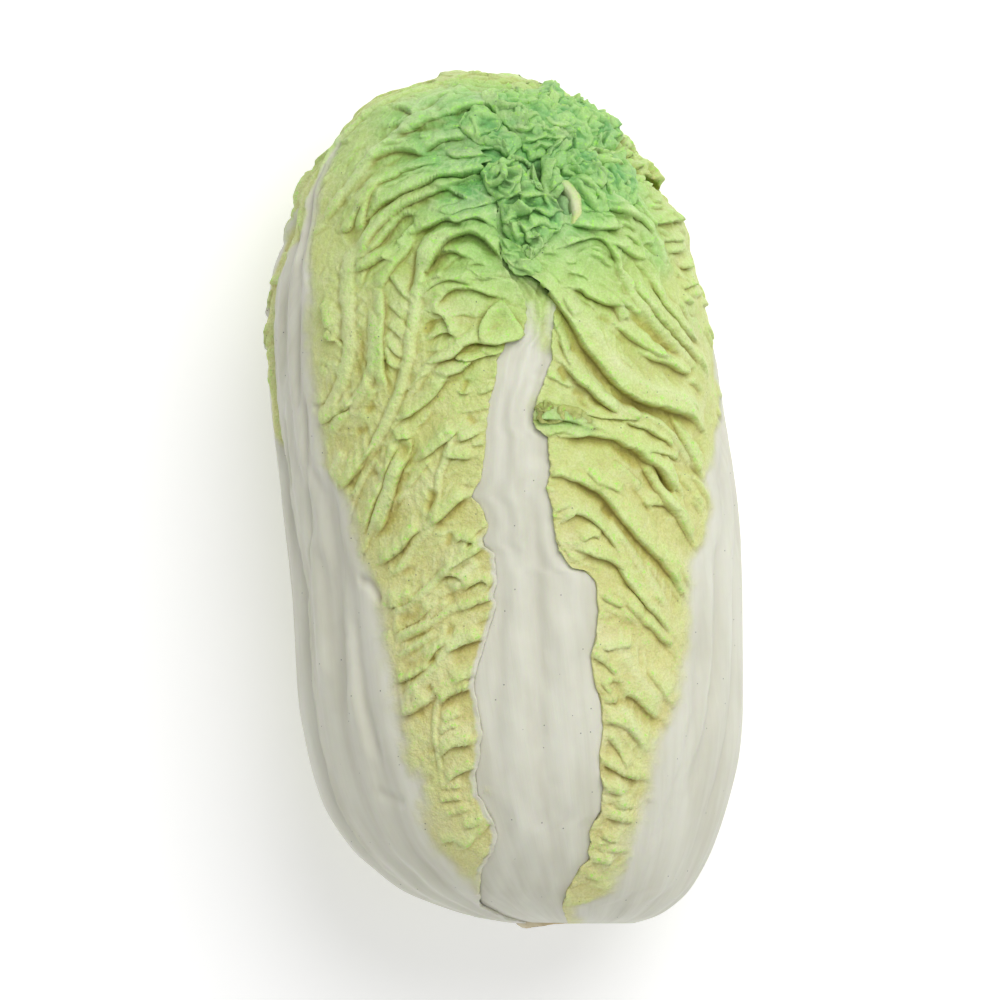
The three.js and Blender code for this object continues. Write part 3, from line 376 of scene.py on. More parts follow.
# Grooves and ridges of the white ribs
LEFT_RIB_LINES = [
    (-0.9, 1.6, [(288, 284), (288, 450), (293, 500)]),
    (-0.6, 1.4, [(306, 385), (306, 450), (310, 520), (314, 590)]),
    (-1.1, 2.8, [(330, 470), (335, 530), (338, 600), (341, 660), (348, 730)]),
    (-0.5, 6.0, [(322, 440), (335, 540), (346, 700)]),
    (0.9, 3.6, [(316, 520), (320, 600), (328, 690)]),
    (0.6, 3.0, [(352, 620), (360, 700), (374, 770)]),
    (-1.0, 1.6, [(358, 577), (370, 582), (378, 595), (382, 604)]),
    (-0.5, 2.0, [(375, 786), (392, 796), (410, 800)]),
    (-0.6, 2.4, [(352, 600), (362, 690), (384, 770)]),
    (-0.5, 1.2, [(301, 300), (298, 360), (300, 420)]),
]
RIGHT_RIB_LINES = [
    (-0.7, 3.0, [(716, 520), (718, 620), (708, 720), (680, 810)]),
    (-0.5, 2.0, [(732, 560), (734, 660), (722, 760), (700, 830)]),
    (-0.5, 2.4, [(696, 620), (694, 700), (672, 790), (640, 862)]),
    (0.6, 3.0, [(706, 560), (706, 680), (690, 770)]),
]
CENTRE_RIB_LINES = [
    (-0.4, 3.5, [(541, 372), (534, 400), (532, 430), (540, 470)]),
    (0.5, 6.0, [(515, 360), (514, 460), (518, 560)]),
    (-1.1, 3.2, [(531, 470), (535, 560), (538, 640), (538, 720), (548, 850)]),
    (-0.5, 3.0, [(505, 560), (500, 640), (497, 740), (512, 860)]),
    (0.7, 5.0, [(518, 620), (518, 740), (530, 860)]),
    (0.7, 4.0, [(560, 600), (566, 720), (564, 820)]),
    (-0.5, 2.4, [(543, 318), (548, 340), (546, 362), (538, 384)]),
]
# Where blade colour shows on the middle rib: column, row, radius in mm, strength
CENTRE_TINTS = [
    (535, 405, 4.0, 0.4), (541, 326, 5.0, 0.6), (547, 346, 4.0, 0.6), (541, 302, 5.5, 0.9),
    (487, 788, 2.6, 0.4),
]
# Extra green on ridges and margins of the outer leaves
LEFT_TINTS = [
    (330, 160, 9.0, 0.25), (345, 135, 9.0, 0.25), (370, 112, 9.0, 0.2), (385, 150, 12.0, 0.25),
    (425, 112, 11.0, 0.25), (350, 185, 10.0, 0.2), (405, 190, 10.0, 0.2), (450, 215, 9.0, 0.15),
    (460, 130, 14.0, 0.35), (440, 160, 12.0, 0.3), (480, 100, 12.0, 0.35), (520, 100, 12.0, 0.3),
    (470, 200, 9.0, 0.3), (500, 326, 6.0, 0.1), (380, 350, 5.0, 0.4), (372, 370, 4.0, 0.4),
    (395, 235, 7.0, 0.35), (470, 380, 4.0, 0.3), (470, 690, 5.0, 0.25), (478, 752, 4.0, 0.3),
    (330, 150, 9.0, 0.3), (400, 112, 12.0, 0.35), (455, 90, 9.0, 0.35), (300, 215, 7.0, 0.35),
]
RIGHT_TINTS = [
    (545, 420, 5.0, 1.1), (570, 421, 5.0, 1.0), (586, 430, 3.0, 0.7), (672, 578, 2.2, 1.6),
    (678, 588, 1.6, 1.8), (640, 450, 3.0, 0.5), (608, 470, 3.0, 0.3), (660, 262, 7.0, 0.4),
    (690, 320, 6.0, 0.3), (600, 130, 9.0, 0.7), (612, 152, 9.0, 0.7), (630, 195, 9.0, 0.35),
    (600, 205, 7.0, 0.35), (575, 230, 7.0, 0.2), (650, 240, 8.0, 0.3), (560, 110, 9.0, 0.8),
]
BACK_LEFT_FOLDS = [(1.0, 4, [(270, 284), (279, 281), (288, 279)])]
# Up to these angles, from the margins, the grids of the two front leaves are finer
LEFT_DENSE = [(0.0, -62), (0.1, -62), (0.4, -58), (0.6, -72), (0.72, -88), (0.93, -112), (1.0, -112)]
RIGHT_DENSE = [(0.0, 62), (0.1, 62), (0.4, 58), (0.6, 68), (0.72, 78), (0.8, 84), (0.93, 84), (1.0, 84)]
# All that is drawn on each front leaf; last, the way up its folds, as x and y
LEFT_DRAWING = (LEFT_FOLDS, LEFT_RIDGES, LEFT_TUBES, LEFT_DIPS, LEFT_RIB_LINES, LEFT_TINTS, (-0.5, 1.0))
RIGHT_DRAWING = (RIGHT_FOLDS, RIGHT_RIDGES, RIGHT_TUBES, RIGHT_DIPS, RIGHT_RIB_LINES, RIGHT_TINTS, (0.6, 1.0))


def curve_through(points):
    """A curve through (t, value) points that never overshoots them; outside them it stays level."""
    t, value = (np.array(column, float) for column in zip(*points))
    slope = np.diff(value) / np.diff(t)
    before, after = slope[:-1], slope[1:]
    same = before * after > 0
    total = np.where(same, before + after, 1.0)
    inner = np.where(same, 2 * before * after / total, 0.0)
    tangent = np.concatenate([slope[:1], inner, slope[-1:]])

    def curve(at):
        at = np.clip(at, t[0], t[-1])
        i = np.clip(np.searchsorted(t, at) - 1, 0, len(t) - 2)
        step = t[i + 1] - t[i]
        u = (at - t[i]) / step
        rise = u * u * (3 - 2 * u)
        bend = step * u * (1 - u) * ((1 - u) * tangent[i] - u * tangent[i + 1])
        return value[i] * (1 - rise) + value[i + 1] * rise + bend

    return curve


half_width_squared = curve_through([(y, ((right - left) / 2) ** 2) for y, left, right in OUTLINE])
middle_of = curve_through([(y, (left + right) / 2) for y, left, right in OUTLINE])
Y_LOW, Y_HIGH = OUTLINE[0][0], OUTLINE[-1][0]
RAY_STEPS = 30
PLACE_STEPS = 40
NORMAL_STEP = 0.4


def smooth(t):
    """A soft step from 0 at 0 to 1 at 1."""
    t = np.clip(t, 0, 1)
    return t * t * (3 - 2 * t)


def unit(v):
    return v / np.maximum(np.linalg.norm(v, axis=-1, keepdims=True), 1e-12)


def field(p):
    """Below zero inside the head, above zero outside it."""
    y = p[..., 1]
    width = half_width_squared(y)
    across = (p[..., 0] - middle_of(y)) ** 2 / width
    up = (p[..., 2] - AXIS_HEIGHT) ** 2 / (width * DEPTH_RATIO**2)
    return np.where((y <= Y_LOW) | (y >= Y_HIGH), 1.0, across + up - 1)


def turns(from_butt):
    """How far the leaves' meridians tilt towards the crown and lean to the side."""
    share = smooth((np.degrees(from_butt) - TILT_START) / (180 - TILT_START))
    tilt = math.radians(CROWN_TILT) * share
    lean = np.radians(BASE_LEAN + (CROWN_LEAN - BASE_LEAN) * from_butt / math.pi)
    return tilt, lean


def turned(v, from_butt):
    tilt, lean = turns(from_butt)
    y = v[..., 1] * np.cos(tilt) - v[..., 2] * np.sin(tilt)
    z = v[..., 1] * np.sin(tilt) + v[..., 2] * np.cos(tilt)
    x = v[..., 0]
    return np.stack([x * np.cos(lean) - y * np.sin(lean), x * np.sin(lean) + y * np.cos(lean), z], -1)


def unturned(v, from_butt):
    tilt, lean = turns(from_butt)
    x = v[..., 0] * np.cos(lean) + v[..., 1] * np.sin(lean)
    y = -v[..., 0] * np.sin(lean) + v[..., 1] * np.cos(lean)
    z = v[..., 2]
    return np.stack([x, y * np.cos(tilt) + z * np.sin(tilt), -y * np.sin(tilt) + z * np.cos(tilt)], -1)


def direction_to(angle, reach):
    """The way from the head's centre to a place on it: its angle round the head and its reach from the butt."""
    t = math.pi * np.asarray(reach, float)
    a = np.radians(angle)
    from_butt = np.arctan2(HALF_WIDTH * np.sin(t), HALF_LENGTH * np.cos(t))
    flat = np.stack([
        np.sin(from_butt) * np.sin(a),
        -np.cos(from_butt) * np.ones_like(a),
        np.sin(from_butt) * np.cos(a),
    ], -1)
    return turned(flat, from_butt)


def along_ray(direction):
    """The place where a ray from the head's centre meets its surface."""
    inside = np.zeros(direction.shape[:-1])
    outside = np.full(direction.shape[:-1], 2.0 * HALF_LENGTH)
    for _ in range(RAY_STEPS):
        middle = (inside + outside) / 2
        beyond = field(CENTRE + direction * middle[..., None]) > 0
        outside = np.where(beyond, middle, outside)
        inside = np.where(beyond, inside, middle)
    return CENTRE + direction * inside[..., None]


def surface_point(angle, reach):
    return along_ray(direction_to(angle, reach))


def onto_surface(p):
    return along_ray(unit(p - CENTRE))


def surface_normal(p):
    """The slope of the field just below the surface."""
    inner = CENTRE + (p - CENTRE) * 0.998
    steps = NORMAL_STEP * np.eye(3)
    return unit(np.stack([field(inner + step) - field(inner - step) for step in steps], -1))


def drawn(line):
    """A line of the drawing grid, laid on the upper side of the head."""
    grid = np.array(line, float)
    x = (grid[:, 0] - GRID_MIDDLE[0]) * GRID
    y = (GRID_MIDDLE[1] - grid[:, 1]) * GRID
    half = np.sqrt(half_width_squared(y))
    across = np.clip((x - middle_of(y)) / half, -0.999, 0.999)
    z = AXIS_HEIGHT + half * DEPTH_RATIO * np.sqrt(1 - across**2)
    return np.stack([x, y, z], -1)


def place_of(p):
    """The reach and angle of places on the head."""
    direction = unit(p - CENTRE)
    from_butt = np.arccos(-direction[..., 1])
    for _ in range(PLACE_STEPS):
        flat = unturned(direction, from_butt)
        from_butt = np.arccos(np.clip(-flat[..., 1], -1, 1))
    t = np.arctan2(HALF_LENGTH * np.sin(from_butt), HALF_WIDTH * np.cos(from_butt))
    return t / math.pi, np.degrees(np.arctan2(flat[..., 0], flat[..., 2]))


def margin_of(line, beyond=()):
    """A drawn line as the angle at each reach; beyond adds (reach, angle) places to its end."""
    reach, angle = place_of(drawn(line))
    places = sorted([*zip(reach, angle), *beyond])
    at, value = (np.array(column) for column in zip(*places))
    return lambda s: np.interp(s, at, value)


def ring_radius(reach):
    return HALF_WIDTH * np.sin(math.pi * reach)


def arc_length(angle, reach):
    """A difference in angle as millimetres round the head."""
    return np.radians(angle) * ring_radius(reach)


def beyond_margin(difference, margin, reach):
    """The distance from a slanting margin, for a difference in angle."""
    t = math.pi * reach
    rate = math.pi * np.hypot(HALF_LENGTH * np.sin(t), HALF_WIDTH * np.cos(t))
    sweep = arc_length(margin(reach + 0.01) - margin(reach - 0.01), reach) / (0.02 * rate)
    return arc_length(difference, reach) / np.hypot(1, sweep)


left_margin = margin_of(LEFT_MARGIN)
right_margin = margin_of(RIGHT_MARGIN)
left_rib_end = margin_of(LEFT_RIB_END, [(0.75, -113), (0.93, -180)])
right_rib_end = margin_of(RIGHT_RIB_END, RIGHT_RIB_TOP)
left_back = curve_through(LEFT_BACK)
left_rib_start = curve_through(LEFT_RIB_START)
right_back = curve_through(RIGHT_BACK)
right_rib_far = curve_through(RIGHT_RIB_FAR)
back_right = curve_through(BACK_RIGHT)
back_left = curve_through(BACK_LEFT)


# ---- Seeded noise ----
CORNERS = np.array([*np.ndindex(2, 2, 2)])
NEIGHBOURS = np.array([*np.ndindex(3, 3, 3)]) - 1
NOISE_GAIN = 1.6  # brings smooth noise to about -1 to 1
FAR_AWAY = 9.0


class Noise:
    """Smooth noise and cells over places in space, the same on each run."""

    def __init__(self, seed):
        random = np.random.default_rng(seed)
        self.order = random.permutation(256)
        self.slopes = unit(random.normal(size=(256, 3)))
        self.seeds = random.random((256, 3))

    def pick(self, cell):
        """A number from 0 to 255 for each cell."""
        x, y, z = (cell[..., i] & 255 for i in range(3))
        return self.order[(self.order[(self.order[x] + y) & 255] + z) & 255]

    def smooth(self, points, size):
        """Soft hills and hollows of about the given size."""
        p = points / size
        cell = np.floor(p).astype(np.int64)
        f = p - cell
        w = f * f * f * (f * (f * 6 - 15) + 10)
        total = np.zeros(p.shape[:-1])
        for corner in CORNERS:
            slope = self.slopes[self.pick(cell + corner)]
            weight = np.prod(np.where(corner == 1, w, 1 - w), -1)
            total += weight * ((f - corner) * slope).sum(-1)
        return total * NOISE_GAIN

    def warp(self, points, offset, size):
        """Three layers of smooth noise, as a shift in space."""
        return np.stack([self.smooth(points + offset * i, size) for i in range(3)], -1)

    def crumpled(self, points, size, layers, share=0.6):
        """Facets with sharp crests and sharp valleys, like crumpled leaf."""
        warp = self.warp(points, 13.0, 0.8 * size)
        total, height = 0, 1
        for layer in range(layers):
            moved = points + 0.3 * size * warp + 17.0 * layer
            crests, valleys = np.abs(self.smooth(moved, size)), np.abs(self.smooth(moved + 61.0, size))
            total = total + 2 * height * (crests - valleys)
            size, height = size / 2, height * share
        return total

    def cells(self, points, size):
        """How far from the border of its cell each place is, from 0 at the border to about 1."""
        p = points / size
        cell = np.floor(p).astype(np.int64)
        nearest, second = np.full((2, *p.shape[:-1]), FAR_AWAY)
        for neighbour in NEIGHBOURS:
            other = cell + neighbour
            gap = np.linalg.norm(other + self.seeds[self.pick(other)] - p, axis=-1)
            second = np.where(gap < nearest, nearest, np.minimum(second, gap))
            nearest = np.minimum(nearest, gap)
        return second - nearest


def blurred(values, radius):
    """Box blur of a grid, three times over, which is close to a soft round one."""
    for _ in range(3):
        for axis in (0, 1):
            before = np.repeat(np.take(values, [0], axis), radius + 1, axis)
            after = np.repeat(np.take(values, [-1], axis), radius, axis)
            padded = np.concatenate([before, values, after], axis)
            total = np.cumsum(padded, axis)
            size = values.shape[axis]
            high = np.take(total, range(2 * radius + 1, 2 * radius + 1 + size), axis)
            low = np.take(total, range(size), axis)
            values = (high - low) / (2 * radius + 1)
    return values


def rounded(line, times=2):
    """The line with its corners cut, its ends kept."""
    for _ in range(times):
        if len(line) < 3:
            return line
        cut = [line[:1]]
        for start, end in zip(line[:-1], line[1:]):
            cut.append(np.stack([start * 0.75 + end * 0.25, start * 0.25 + end * 0.75]))
        cut.append(line[-1:])
        line = np.concatenate(cut)
    return line


# ---- Pieces ----
def deselect():
    bpy.ops.object.select_all(action="DESELECT")


def added(name, primitive, **settings):
    """A new primitive, with nothing else selected."""
    deselect()
    primitive(**settings)
    piece = bpy.context.object
    piece.name = name
    return piece


def added_grid(name, columns, rows):
    return added(name, bpy.ops.mesh.primitive_grid_add, x_subdivisions=columns, y_subdivisions=rows, size=2,
                 calc_uvs=False)


def added_ball(name, segments, rings):
    """A ball of radius 1 and the places of its points."""
    piece = added(name, bpy.ops.mesh.primitive_uv_sphere_add, segments=segments, ring_count=rings, radius=1,
                  calc_uvs=False)
    return piece, np.array([vertex.co[:] for vertex in piece.data.vertices])


def shape(piece, places):
    """Puts the piece's points at places given in millimetres."""
    piece.data.vertices.foreach_set("co", ((places + BOX_SHIFT) * MM).astype(np.float32).ravel())


def mark(piece, flow=None, **values):
    """Gives the piece the values that its material reads."""
    if flow is None:
        flow = np.array([vertex.co[:] for vertex in piece.data.vertices])
    for key, value in values.items():
        attribute = piece.data.attributes.new(key, "FLOAT", "POINT")
        attribute.data.foreach_set("value", np.asarray(value, np.float32).ravel())
    attribute = piece.data.attributes.new("flow", "FLOAT_VECTOR", "POINT")
    attribute.data.foreach_set("vector", np.asarray(flow, np.float32).ravel())


def join(piece, others):
    """Makes the others part of the piece."""
    deselect()
    for other in (*others, piece):
        other.select_set(True)
    bpy.context.view_layer.objects.active = piece
    bpy.ops.object.join()


# ---- Relief of a leaf ----
STEEP = 0.9  # width of the steep side of a fold
FOLD_HEIGHT = 1.5  # of a fold, against its listed height
FOLD_RISE = 1.4
FOOT = 1.1  # depth of the hollow at the foot of the tallest folds
FOOT_WIDTH = 2.8
CREST = 0.16  # extra height of the lip, as a share of the fold's
OVERHANG = 1.1  # how far a lip leans out over its foot
END_TAPER = 0.16
SHIFT_LIMIT = 1.7
# Strength of the painted shade along the sides of a round vein.
TUBE_EDGE = 0.24
TUBE_PALE = 0.5
DIP_DEPTH = 1.1
VEIN_HEIGHT = 1.5  # of a drawn vein, against its listed height


def bell(distance, width):
    return np.exp(-((distance / width) ** 2))


def run_along(line):
    """How far along a line each of its points is."""
    return np.concatenate([[0], np.cumsum(np.linalg.norm(np.diff(line, axis=0), axis=1))])


def points_along(line, at):
    run = run_along(line)
    return np.stack([np.interp(at, run, line[:, i]) for i in range(3)], -1)


class Relief:
    """Heights over a leaf's grid of places, with masks for painted highlight on its ridges and painted shade in its
    creases and hollows.
    """

    def __init__(self, points, normals, seed):
        self.shape = points.shape[:-1]
        self.points = points.reshape(-1, 3)
        self.normals = normals.reshape(-1, 3)
        self.noise = Noise(seed)
        wander, fine = self.noise.warp(self.points, 57.3, 7.0), self.noise.warp(self.points, -41.9, 2.2)
        self.found = self.points + 0.6 * wander + 0.14 * fine
        count = len(self.points)
        self.height, self.ridge, self.crease, self.hollow, self.vein = np.zeros((5, count))
        self.shift = np.zeros((count, 3))
        self.soft = np.ones(count)

    def near(self, line, reach):
        low, high = line.min(0) - reach, line.max(0) + reach
        return np.flatnonzero(((self.found > low) & (self.found < high)).all(-1))

    def raise_to(self, mask, at, value):
        """Brings a mask up to a value where it is lower."""
        values = getattr(self, mask)
        values[at] = np.maximum(values[at], value)

    def across(self, at, line):
        """Signed distance from the line, share along it and the direction across, for some places."""
        places, normals = self.found[at], self.normals[at]
        best = np.full(len(at), 1e9)
        offset = np.zeros((len(at), 3))
        heading = np.zeros((len(at), 3))
        share = np.zeros(len(at))
        steps = np.diff(line, axis=0)
        lengths, start = np.linalg.norm(steps, axis=1), run_along(line)
        for i, step in enumerate(steps):
            u = np.clip((places - line[i]) @ step / lengths[i] ** 2, 0, 1)
            away = places - (line[i] + u[:, None] * step)
            gap = np.linalg.norm(away, axis=1)
            closer = gap < best
            best[closer], offset[closer], heading[closer] = gap[closer], away[closer], step / lengths[i]
            share[closer] = (start[i] + u[closer] * lengths[i]) / start[-1]
        side = unit(np.cross(normals, heading))
        signed = best * np.sign((offset * side).sum(-1))
        return signed, share, side

    def fold(self, height, rise, line, raised, steep=STEEP):
        """A fold with a long rise and a steep side. Raised is the way from its foot to its top."""
        line = rounded(line)
        raised = np.sign(height) * np.asarray(raised)
        height, rise = FOLD_HEIGHT * abs(height), FOLD_RISE * rise
        at = self.near(line, max(rise, 3 * FOOT_WIDTH))
        if not len(at):
            return
        signed, share, side = self.across(at, line)
        flip = np.sign((side * raised).sum(-1).mean()) or 1.0
        signed, side = signed * flip, side * flip
        near_end = smooth(1 - np.maximum(0, np.abs(signed) - 0.2 * rise) / rise)
        top = np.where(signed >= 0, 1 - smooth(signed / rise), 1 - smooth(-signed / steep))
        below = -(signed + steep)
        tall = smooth((height - 1.6) / 2.8)
        width = 0.9 + (FOOT_WIDTH - 0.9) * tall
        foot = FOOT * (0.3 + 0.9 * tall) * bell(below, np.where(below > 0, width, steep)) * (signed < 0)
        end = 0.25 + 0.75 * smooth(np.minimum(share, 1 - share) / END_TAPER)
        past = (share <= 0) | (share >= 1)
        end = np.where(past, end * bell(signed, 0.4 * rise), end) * near_end * self.soft[at]
        self.height[at] += end * (height * (top + CREST * bell(signed - 0.7, 0.9)) - foot)
        # Painted highlight on the fold's crest (ridge mask), painted shade at its foot (crease mask) and over the
        # wider hollow below (hollow mask).
        strength = end * min(1.2, height / 2.6)
        self.raise_to("ridge", at, strength * bell(signed - 0.6, 0.8))
        self.raise_to("crease", at, strength * bell(signed + steep * 0.8, 0.65))
        wide = bell(below, np.where(below > 0, width, 0.8 * steep))
        self.raise_to("hollow", at, (0.25 + 0.75 * tall) * end * wide)
        lean = bell(signed - 0.2, 1.3) - 0.6 * bell(signed + steep + 0.3, 0.9)
        amount = OVERHANG * min(1.2, height / 2) * end * lean
        self.shift[at] -= side * amount[:, None]

    def limited_shift(self):
        """The sideways shift of the lips, softly kept below its limit."""
        length = np.linalg.norm(self.shift, axis=-1, keepdims=True)
        return self.shift * SHIFT_LIMIT * np.tanh(length / SHIFT_LIMIT) / np.maximum(length, 1e-9)

    def strip(self, line, reach, taper=END_TAPER):
        """The places near a line: which, how far across and along it, and how far they fade at its ends."""
        line = rounded(line)
        at = self.near(line, reach)
        if not len(at):
            return at, at, at, at
        signed, share, _ = self.across(at, line)
        return at, signed, share, smooth(np.minimum(share, 1 - share) / taper)

    def line(self, height, half_width, line, vein=0.0):
        """A soft ridge or, below zero, a groove, which may be a pale vein."""
        at, signed, _, end = self.strip(line, 2.6 * half_width)
        self.height[at] += height * (end * bell(signed, half_width))
        if vein:
            self.raise_to("vein", at, vein * end * bell(signed, 0.6 * half_width))

    def tube(self, height, first, last, line):
        """A round vein with clear sides, from one half width to another."""
        at, signed, share, end = self.strip(line, 2 * max(first, last))
        away = np.abs(signed) / (first + (last - first) * share)
        end = end * self.soft[at]
        groove = bell(away - 1.15, 0.24)
        self.height[at] += end * height * (np.clip(1 - away**2, 0, 1) ** 0.85 - 0.12 * groove)
        # Painted shade in the groove along each side of the vein; the pale middle is the vein's own colour.
        self.raise_to("crease", at, TUBE_EDGE * end * groove)
        self.raise_to("vein", at, TUBE_PALE * end * smooth((1 - away) / 0.4))

    def dip(self, depth, half_width, line):
        """A shaded hollow."""
        at, signed, _, end = self.strip(line, 2.6 * half_width, 0.3)
        hollow = end * self.soft[at] * bell(signed, half_width)
        self.height[at] -= DIP_DEPTH * depth * hollow
        # Painted shade over the hollow.
        self.raise_to("hollow", at, min(1, depth / 1.4) * hollow)


COARSE = 4  # cells of the outside to one cell of the inside
ROW_CROWDING = 0.28  # how much closer the rows lie towards a front leaf's tip
CRINKLE_STEP = 2.4
LOWEST = 0.02  # of any point of a leaf
DEGREES = 57.3  # to a radian


def eased(margin):
    """The margin without its small turns, which the middle of a leaf need not follow."""
    reach = np.linspace(-0.15, 1.15, 651)
    near = np.exp(-((np.arange(-45, 46) / 18) ** 2))
    value = np.convolve(margin(np.clip(reach, 0, 1)), near / near.sum(), "same")
    return lambda s: np.interp(s, reach[60:-60], value[60:-60])


class Leaf:
    """One leaf's grid of places between its margins, row by row from the butt."""

    def __init__(self, columns, rows, seed, left, right, start, tip, middle=None, serration=(0, 0)):
        self.columns, self.rows = (count // COARSE * COARSE for count in (columns, rows))
        u = np.linspace(0, 1, self.columns + 1)[None, :]
        v = np.linspace(0, 1, self.rows + 1)[:, None]
        if middle:
            v = (1 + ROW_CROWDING) * v - ROW_CROWDING * v**2
        self.reach = start + (tip(u) - start) * v
        edge_left, edge_right = left(self.reach), right(self.reach)
        if any(serration):
            bite = Noise(seed + 5)
            along = np.stack([self.reach * LENGTH_TO_TIP, 0 * self.reach, 0 * self.reach], -1)
            teeth = 0.9 * bite.smooth(along, 3.1) + 0.5 * bite.smooth(along + 9.1, 1.3)
            teeth = teeth / np.maximum(ring_radius(self.reach), 12) * DEGREES
            edge_left = edge_left + serration[0] * teeth
            edge_right = edge_right + serration[1] * teeth
        soft_left, soft_right = eased(left)(self.reach), eased(right)(self.reach)
        if middle:
            share, curve = middle
            between = curve(self.reach)
            low, high = np.clip(u / share, 0, 1), np.clip((u - share) / (1 - share), 0, 1)
            self.angle = soft_left + (between - soft_left) * low + (soft_right - between) * high
        else:
            self.angle = soft_left + (soft_right - soft_left) * u
        self.angle += (edge_left - soft_left) * (1 - u) ** 5 + (edge_right - soft_right) * u**5
        self.points = surface_point(self.angle, self.reach)
        self.normals = surface_normal(self.points)
        self.from_left = arc_length(self.angle - edge_left, self.reach)
        self.from_right = arc_length(edge_right - self.angle, self.reach)
        from_tip = (tip(u) - self.reach) * math.pi * HALF_WIDTH
        self.rim = np.minimum(np.minimum(self.from_left, self.from_right), from_tip)
        self.relief = Relief(self.points, self.normals, seed)
        self.noise = self.relief.noise
        self.seed = seed
        self.base, self.blade, self.tint, self.veins = np.zeros((4, *self.reach.shape))

    def add(self, height):
        self.relief.height += np.broadcast_to(height, self.reach.shape).ravel()

    def spots(self, rows):
        """Soft round spots: column, row, radius in mm, strength."""
        total = np.zeros(self.reach.shape)
        for column, row, radius, strength in rows:
            total += strength * bell(np.linalg.norm(self.points - drawn([(column, row)])[0], axis=-1), radius)
        return total

    def frame_at(self, step):
        """A coarse sample of the grid: places, normals and the two directions of the leaf."""
        points = self.points[::step, ::step]
        along = unit(np.gradient(points, axis=0))
        across = unit(np.cross(along, self.normals[::step, ::step]))
        return points, across, along

    def crinkles(self, count, lines, raised, vein_angle, size=(8, 26), height=(0.35, 1.1), seed=0, within=None):
        """Many small folds that follow the drawn ones, and the veins where none is near."""
        step = 6
        points, across, along = self.frame_at(step)
        blade = self.blade[::step, ::step]
        lean = np.radians(vein_angle[::step, ::step])
        default = np.stack([np.sin(lean), np.cos(lean)], -1)
        xx, yy, xy = (0.02 * default[..., i] * default[..., j] for i, j in ((0, 0), (1, 1), (0, 1)))
        for _, _, line in lines:
            line = rounded(drawn(line), 1)
            for start, end in zip(line[:-1], line[1:]):
                heading = end - start
                length = np.linalg.norm(heading)
                weight = length * bell(np.linalg.norm(points - (start + end) / 2, axis=-1), 9) / 8
                a, b = ((way * heading).sum(-1) / max(length, 1e-6) for way in (across, along))
                xx, yy, xy = xx + weight * a * a, yy + weight * b * b, xy + weight * a * b
        angle = 0.5 * np.arctan2(2 * xy, xx - yy)
        flow = across * np.cos(angle)[..., None] + along * np.sin(angle)[..., None]
        flow = flow * np.where((flow * along).sum(-1, keepdims=True) < 0, -1, 1)
        flat, flow = points.reshape(-1, 3), flow.reshape(-1, 3)
        across, weights = across.reshape(-1, 3), (blade**2).ravel()
        width, length = (np.linalg.norm(np.gradient(points, axis=axis), axis=-1) for axis in (1, 0))
        weights = weights * (width * length).ravel()
        if within:
            weights = weights * (np.linalg.norm(flat - CROWN_MIDDLE, axis=-1) < within)
        random = np.random.default_rng(self.seed * 7 + seed)
        starts = random.choice(len(flat), size=count, p=weights / weights.sum())
        paths = []
        for start in starts:
            length = random.uniform(*size)
            heading = flow[start] * random.choice([-1, 1])
            turn = random.normal(0, 0.18)
            place = flat[start] + random.normal(0, 1.2, 3)
            path = [place]
            for _ in range(max(2, int(length / CRINKLE_STEP))):
                near = np.argmin(((flat - place) ** 2).sum(-1))
                local = flow[near] * np.sign(flow[near] @ heading or 1)
                heading = unit(local + turn * across[near] + random.normal(0, 0.14, 3))
                place = place + heading * CRINKLE_STEP
                path.append(place)
            paths.append(np.array(path))
        joined = onto_surface(np.concatenate(paths))
        at = 0
        for path in paths:
            line = joined[at:at + len(path)]
            at += len(path)
            tall = random.uniform(*height)
            side = raised if random.random() < 0.8 else -raised
            self.relief.fold(tall, random.uniform(2.2, 5.5), line, side, steep=random.uniform(0.6, 0.95))

    def pleats(self, edge, pitch, length, height, reach, seed):
        """Short folds that run in from a free margin."""
        random = np.random.default_rng(self.seed * 11 + seed)
        at, inwards = reach[0], 1 if edge == "left" else -1
        while at < reach[1]:
            column = 0 if edge == "left" else self.columns
            row = int(np.argmin(np.abs(self.reach[:, column] - at)))
            angle = self.angle[row, column]
            run = random.uniform(*length)
            shares = np.linspace(0, 1, 5)
            angles = angle + inwards * np.degrees(shares * run / ring_radius(at))
            drift = random.uniform(-0.03, 0.008)
            line = surface_point(angles, at + drift * shares)
            self.relief.fold(random.uniform(*height), random.uniform(2.5, 4.5), line, UP, random.uniform(0.6, 1.0))
            at += random.uniform(*pitch) / LENGTH_TO_TIP

    def pinnate(self, lines, pitch, length, height, seed):
        """Fine veins that leave each drawn vein on both sides, leaning towards the leaf's tip."""
        random = np.random.default_rng(self.seed * 13 + seed)
        for line in lines:
            line = rounded(drawn(line))
            where = np.arange(random.uniform(1, pitch), run_along(line)[-1], pitch)
            if not len(where):
                continue
            places, ahead = (onto_surface(points_along(line, at)) for at in (where, where - 0.6))
            to_tip = unit(ahead - places + 1e-6)
            sides = unit(np.cross(surface_normal(places), to_tip))
            for place, forward, side in zip(places, to_tip, sides):
                for way in (-1, 1):
                    run = random.uniform(*length)
                    share = np.linspace(0, 1, 5)[:, None]
                    climb = run * (0.35 * share + 0.4 * share**2)
                    curve = place + way * side * (1.5 + run * 0.75 * share) + forward * climb
                    self.relief.line(height * random.uniform(0.6, 1.3), 0.8, onto_surface(curve), 0.5)

